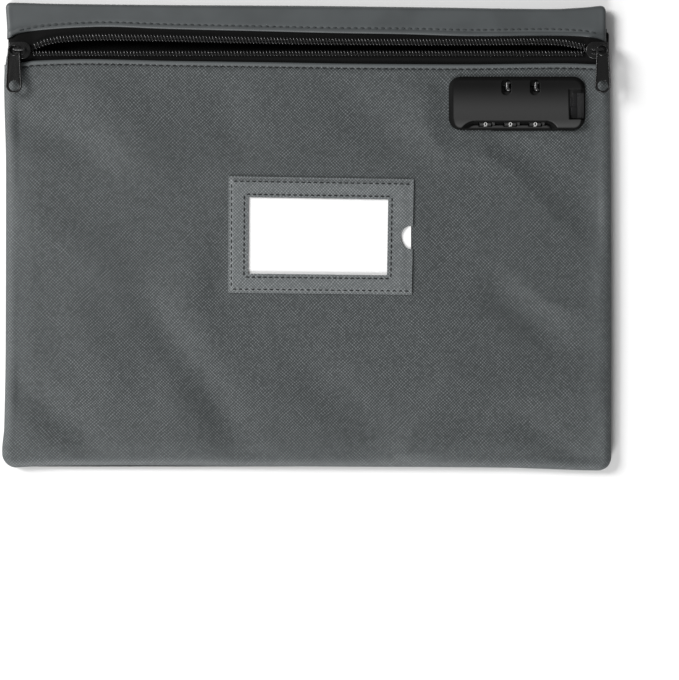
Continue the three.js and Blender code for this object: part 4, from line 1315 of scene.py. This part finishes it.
def lying_cylinder(x0, x1, radius, sides=32):
    """(points, faces) of a cutter along X, about the dials' axis."""
    turn = 2 * math.pi * np.arange(sides) / sides
    ring = np.stack([DIAL_Y + radius * np.cos(turn), DIAL_Z + radius * np.sin(turn)], axis=1)
    return flat_ended(*(np.column_stack([np.full(sides, x), ring]) for x in (x0, x1)))


def rim_mask(x, y):
    """Painted shade on the lock: the bevel round its edges and the recess of the dials are marked to be
    painted darker.
    """
    bevel = smoothstep((rim_width(y) + 0.4 - outline_distance(x, y)) / 0.8)
    band = smoothstep((recess_edge(x) + 0.7 - y) / 0.5) * smoothstep((y - ledge_edge(x)) / 0.5)
    return np.maximum(bevel, band)


def hook_slot(x):
    """About a hook at x: the pocket's floor, which is added first, and the cutters of its slot and arm."""
    floor_block = prism(rounded_rect(x - 3.9, x + 3.9, 3.7, 14.6, 3.0, 6), 7.6, 9.6)
    slot = prism(rounded_rect(x - 2.9, x + 2.9, 4.6, 13.9, 2.6, 8), 8.6, 20)
    way = block(x - 2.8, x + 1.6, 6.9, 10.4, 7, 9.2)
    return floor_block, slot, way


def lock_housing():
    width, height, _ = LOCK_HALF
    top = height_block(-width - 1, width + 1, -height - 1, height + 1, 0.4, lock_top, LOCK_BASE_Z)
    obj = join_meshes("lock_housing_shell", [top], shade=False)
    carve(obj, "INTERSECT", prism(rounded_rect(-width, width, -height, height, LOCK_CORNER, 10), 0, 20))
    hollow = height_block(
        -width + 3.6, width - 11, -height + 5.0, height - 5.0, 0.8,
        lambda x, y: lock_top(x, y, 1.2), LOCK_BASE_Z - 3,
    )
    pockets = [lying_cylinder(x - 3.85, x + 3.85, 4.1) for x in DIAL_X]
    gaps = [lying_cylinder(x + 3.6, x + 5.7, 3.6) for x in DIAL_X]
    carve(obj, "DIFFERENCE", hollow, *pockets, *gaps)
    for low_x in HOOK_LEFT_X:
        floor_block, slot, way = hook_slot(low_x - LOCK_MIDDLE[0] + 0.4)
        carve(obj, "UNION", floor_block)
        carve(obj, "DIFFERENCE", slot, way)
    release_bay = block(30.1, width + 1, -10, 8.2, 9.3, 20)
    arm_way = block(27.7, 31, -9.7, 3.4, 9.3, 10.2)
    catch_way = block(27.7, 31, -9.7, -2.2, 9.3, 10.72)
    carve(obj, "DIFFERENCE", release_bay, arm_way, catch_way)
    mould(obj, 0.22, 3)
    points = mesh_points(obj)
    # The bevel and the dials' recess are marked for painted shade.
    mark_rim(obj.data, rim_mask(points[:, 0], points[:, 1]))
    place_points(obj, points + LOCK_MIDDLE * [1, 1, 0])
    return fit(dress(obj, LOCK_PLASTIC), "bag", "lock_plastic", "lock_housing")


def dial_parts(radius, half_width):
    """A ten-sided wheel with grip notches between its numbers, about the X axis."""
    step = 2 * math.pi / DIAL_SIDES
    profile = []
    for k in range(DIAL_SIDES):
        for turn, size in ((-0.36, 1.0), (-0.30, 1.012), (0.30, 1.012), (0.36, 1.0), (0.5, 0.93)):
            angle = (k + turn) * step
            reach = radius * size / math.cos(turn * step) * DIAL_FLAT
            profile.append((reach * math.cos(angle), reach * math.sin(angle)))
    profile = np.array(profile)
    right = [(half_width, 0.6), (half_width, 0.9), (half_width - 0.35, 1.0)]
    rings = []
    for x, scale in right + [(-x, scale) for x, scale in reversed(right)]:
        rings.append(np.column_stack([np.full(len(profile), x), profile * scale]))
    return loft(rings, looped=True)


def number_mesh(text, height):
    """(points, faces) of one number, centred, in the XY plane."""
    curve = bpy.data.curves.new("number", "FONT")
    curve.body = text
    curve.size = 1.0
    curve.offset = -0.004
    curve.extrude = 0.02
    curve.align_x = "CENTER"
    points, faces = curve_parts(curve)
    low, high = points.min(0), points.max(0)
    scale = height / (high[1] - low[1])
    return (points - (low + high) / 2 * [1, 1, 0]) * scale, faces


def dials():
    paint_z = DIAL_RADIUS * 1.012 * DIAL_FLAT + 0.02
    for i, (body, centre) in enumerate(DIALS.items(), 1):
        tilt = Matrix.Rotation(math.radians(90 + SHOWN_TILT), 4, "X")
        wheel = moved(dial_parts(DIAL_RADIUS, DIAL_HALF_WIDTH), *centre, tilt)
        wheel = soften(dress(join_meshes(f"dial_{i}_wheel", [wheel]), DIAL_PLASTIC), 25)
        fit(wheel, body, "dial_plastic", f"dial_{i}")
        numbers = []
        for value in range(DIAL_SIDES):
            turn = Matrix.Rotation(math.radians(SHOWN_TILT - 360 / DIAL_SIDES * value), 4, "X")
            points, faces = number_mesh(str(value), 2.25)
            points = points * [1.4, 1, 1] + [0, 0, paint_z]
            numbers.append(moved((points, faces), *centre, turn))
        paint = join_meshes(f"dial_{i}_numbers", numbers, shade=False)
        fit(dress(paint, NUMBER_PAINT), body, "dial_plastic")


def hooks():
    """Glossy bent rods: each lies along its slot and turns its horn towards +X."""
    wire = 1.0
    bend = 0.7
    for side in ("left", "right"):
        low, high = node_box(f"latch_hook_{side}")
        x, y, z = low[0] + wire, high[1], high[2] - wire
        straight = [(x, y - 0.4), (x, y - 1.4), (x, y - 2.6)]
        rod = np.concatenate([straight, arc(x + bend, y - 3.6, bend, 180, 330, 8)])
        parts = [
            tube(np.column_stack([rod, np.full(len(rod), z)]), wire, 16),
            plate([rounded_rect(x - 0.5, x + 1.8, y - 0.9, y + 0.2, 0.5)], z - 0.3, z + 0.9, 0.4, 4),
            plate([rounded_rect(low[0], low[0] + 1.6, y - 4.3, y - 2.4, 0.4)], low[2], z, 0.1, 2),
        ]
        obj = soften(dress(join_meshes(f"{side}_hook", parts), HOOK_METAL))
        fit(obj, "latch", "hook_metal", f"latch_hook_{side}")


def release_button():
    """The slide: stepped plates, a raised grip with five ribs, and the arm that reaches the latch plate."""
    low, high = node_box("release_button")
    x0, x1, y0, y1 = low[0], high[0], low[1], high[1]
    grip_x = x1 - 3.8
    grip_z = high[2] - 0.35
    arm_x, arm_y = LOCK_MIDDLE[0] + 33, LOCK_MIDDLE[1] - 3.6
    layers = (
        ((x0, x0 + 1.7, y0, y1 - 3.2, 0.4), 9.6, 9.98, 0.12, 2),
        ((x0 + 1.3, grip_x + 0.3, y0, y1, 0.4), 9.6, 10.05, 0.12, 2),
        ((x0 + 0.2, grip_x - 0.2, y0 + 0.2, y0 + 6.6, 0.3), 10.0, 10.5, 0.15, 3),
        ((x0 + 1.3, grip_x - 0.2, y1 - 6.4, y1 - 0.4, 0.3), 10.0, 10.45, 0.12, 3),
        ((grip_x, x1, y0, y1, 0.5), 9.6, grip_z, 0.2, 3),
        ((arm_x, arm_x + 1.4, arm_y, arm_y + 3.8, 0.2), 5.6, 9.9, 0.05, 1),
    )
    parts = [plate([rounded_rect(*outline)], *rest) for outline, *rest in layers]
    for k in range(5):
        rib = [(grip_x + 0.5 + 0.7 * k, y, grip_z) for y in np.linspace(y0 + 0.6, y1 - 0.6, 9)]
        parts.append(tube(rib, 0.24))
    obj = soften(dress(join_meshes("release_slide_button", parts), RELEASE_PLASTIC))
    return fit(obj, "latch", "lock_plastic", "release_button")


def dress_cad():
    """Better materials for the CAD nodes that stay as they are."""
    finishes = {
        TAPE: ["edge_binding"],
        FILM: ["card_window"],
        CARD_PAPER: ["insert_card"],
        LOCK_PLASTIC: ["lock_back_plate"],
        DARK_STEEL: ["latch_plate", "dial_shaft"] + [f"dial_sleeve_{i}" for i in (1, 2, 3)],
        STEEL: ["return_spring", "detent_spring"] + [f"lock_screw_{i}" for i in (1, 2, 3, 4)],
    }
    for material, names in finishes.items():
        for name in names:
            dress(frame["nodes"][name], material)


# ------------------------------------------------------------------ floor, light, camera

def floor():
    half = 6000.0
    count = 20
    x, y = np.meshgrid(np.linspace(-half, half, count), np.linspace(-half, half, count))
    obj = mesh_object("floor", grid_points(x, y, np.full_like(x, -0.05)), grid_faces(count, count))
    dress(obj, new_material("pale floor", (0.92, 0.92, 0.92), 0.9, Specular_IOR_Level=0.1))


def area_light(name, place, size, power):
    """A soft light that shines on the middle of the bag."""
    data = bpy.data.lights.new(name, "AREA")
    data.shape = "RECTANGLE"
    data.size, data.size_y = size
    data.energy = power
    obj = add_object(name, data)
    obj.location = place
    obj.rotation_euler = (-Vector(place)).to_track_quat("-Z", "Y").to_euler()


def lights():
    """A key light from the left, a lower one from the bottom of the bag, and a dim white world."""
    area_light("key", (-3.15, 1.35, 2.43), (1.6, 1.6), 178.0)
    area_light("low light", (-1.08, -3.6, 1.98), (1.6, 1.2), 172.0)
    scene = bpy.context.scene
    scene.world = bpy.data.worlds.new("studio")
    scene.world.use_nodes = True
    color, strength, *_ = scene.world.node_tree.nodes["Background"].inputs
    color.default_value = (1, 1, 1, 1)
    strength.default_value = 0.22
    scene.view_settings.view_transform = "Standard"
    scene.view_settings.look = "None"


def camera():
    """Straight above the bag, which sits towards the upper left of the picture."""
    data = bpy.data.cameras.new("camera")
    data.lens = 100
    data.sensor_width = 36
    obj = add_object("camera", data)
    obj.location = (0.0182, -0.0604, 1.115)
    bpy.context.scene.camera = obj


# ------------------------------------------------------------------ assembly

camera()
lights()
floor()
panel = front_panel()
band = header_band()
back_panel()
panel_stitches(panel)
header_stitches(band)
zipper()
sliders()
card_frame()
lock_housing()
dials()
hooks()
release_button()
dress_cad()
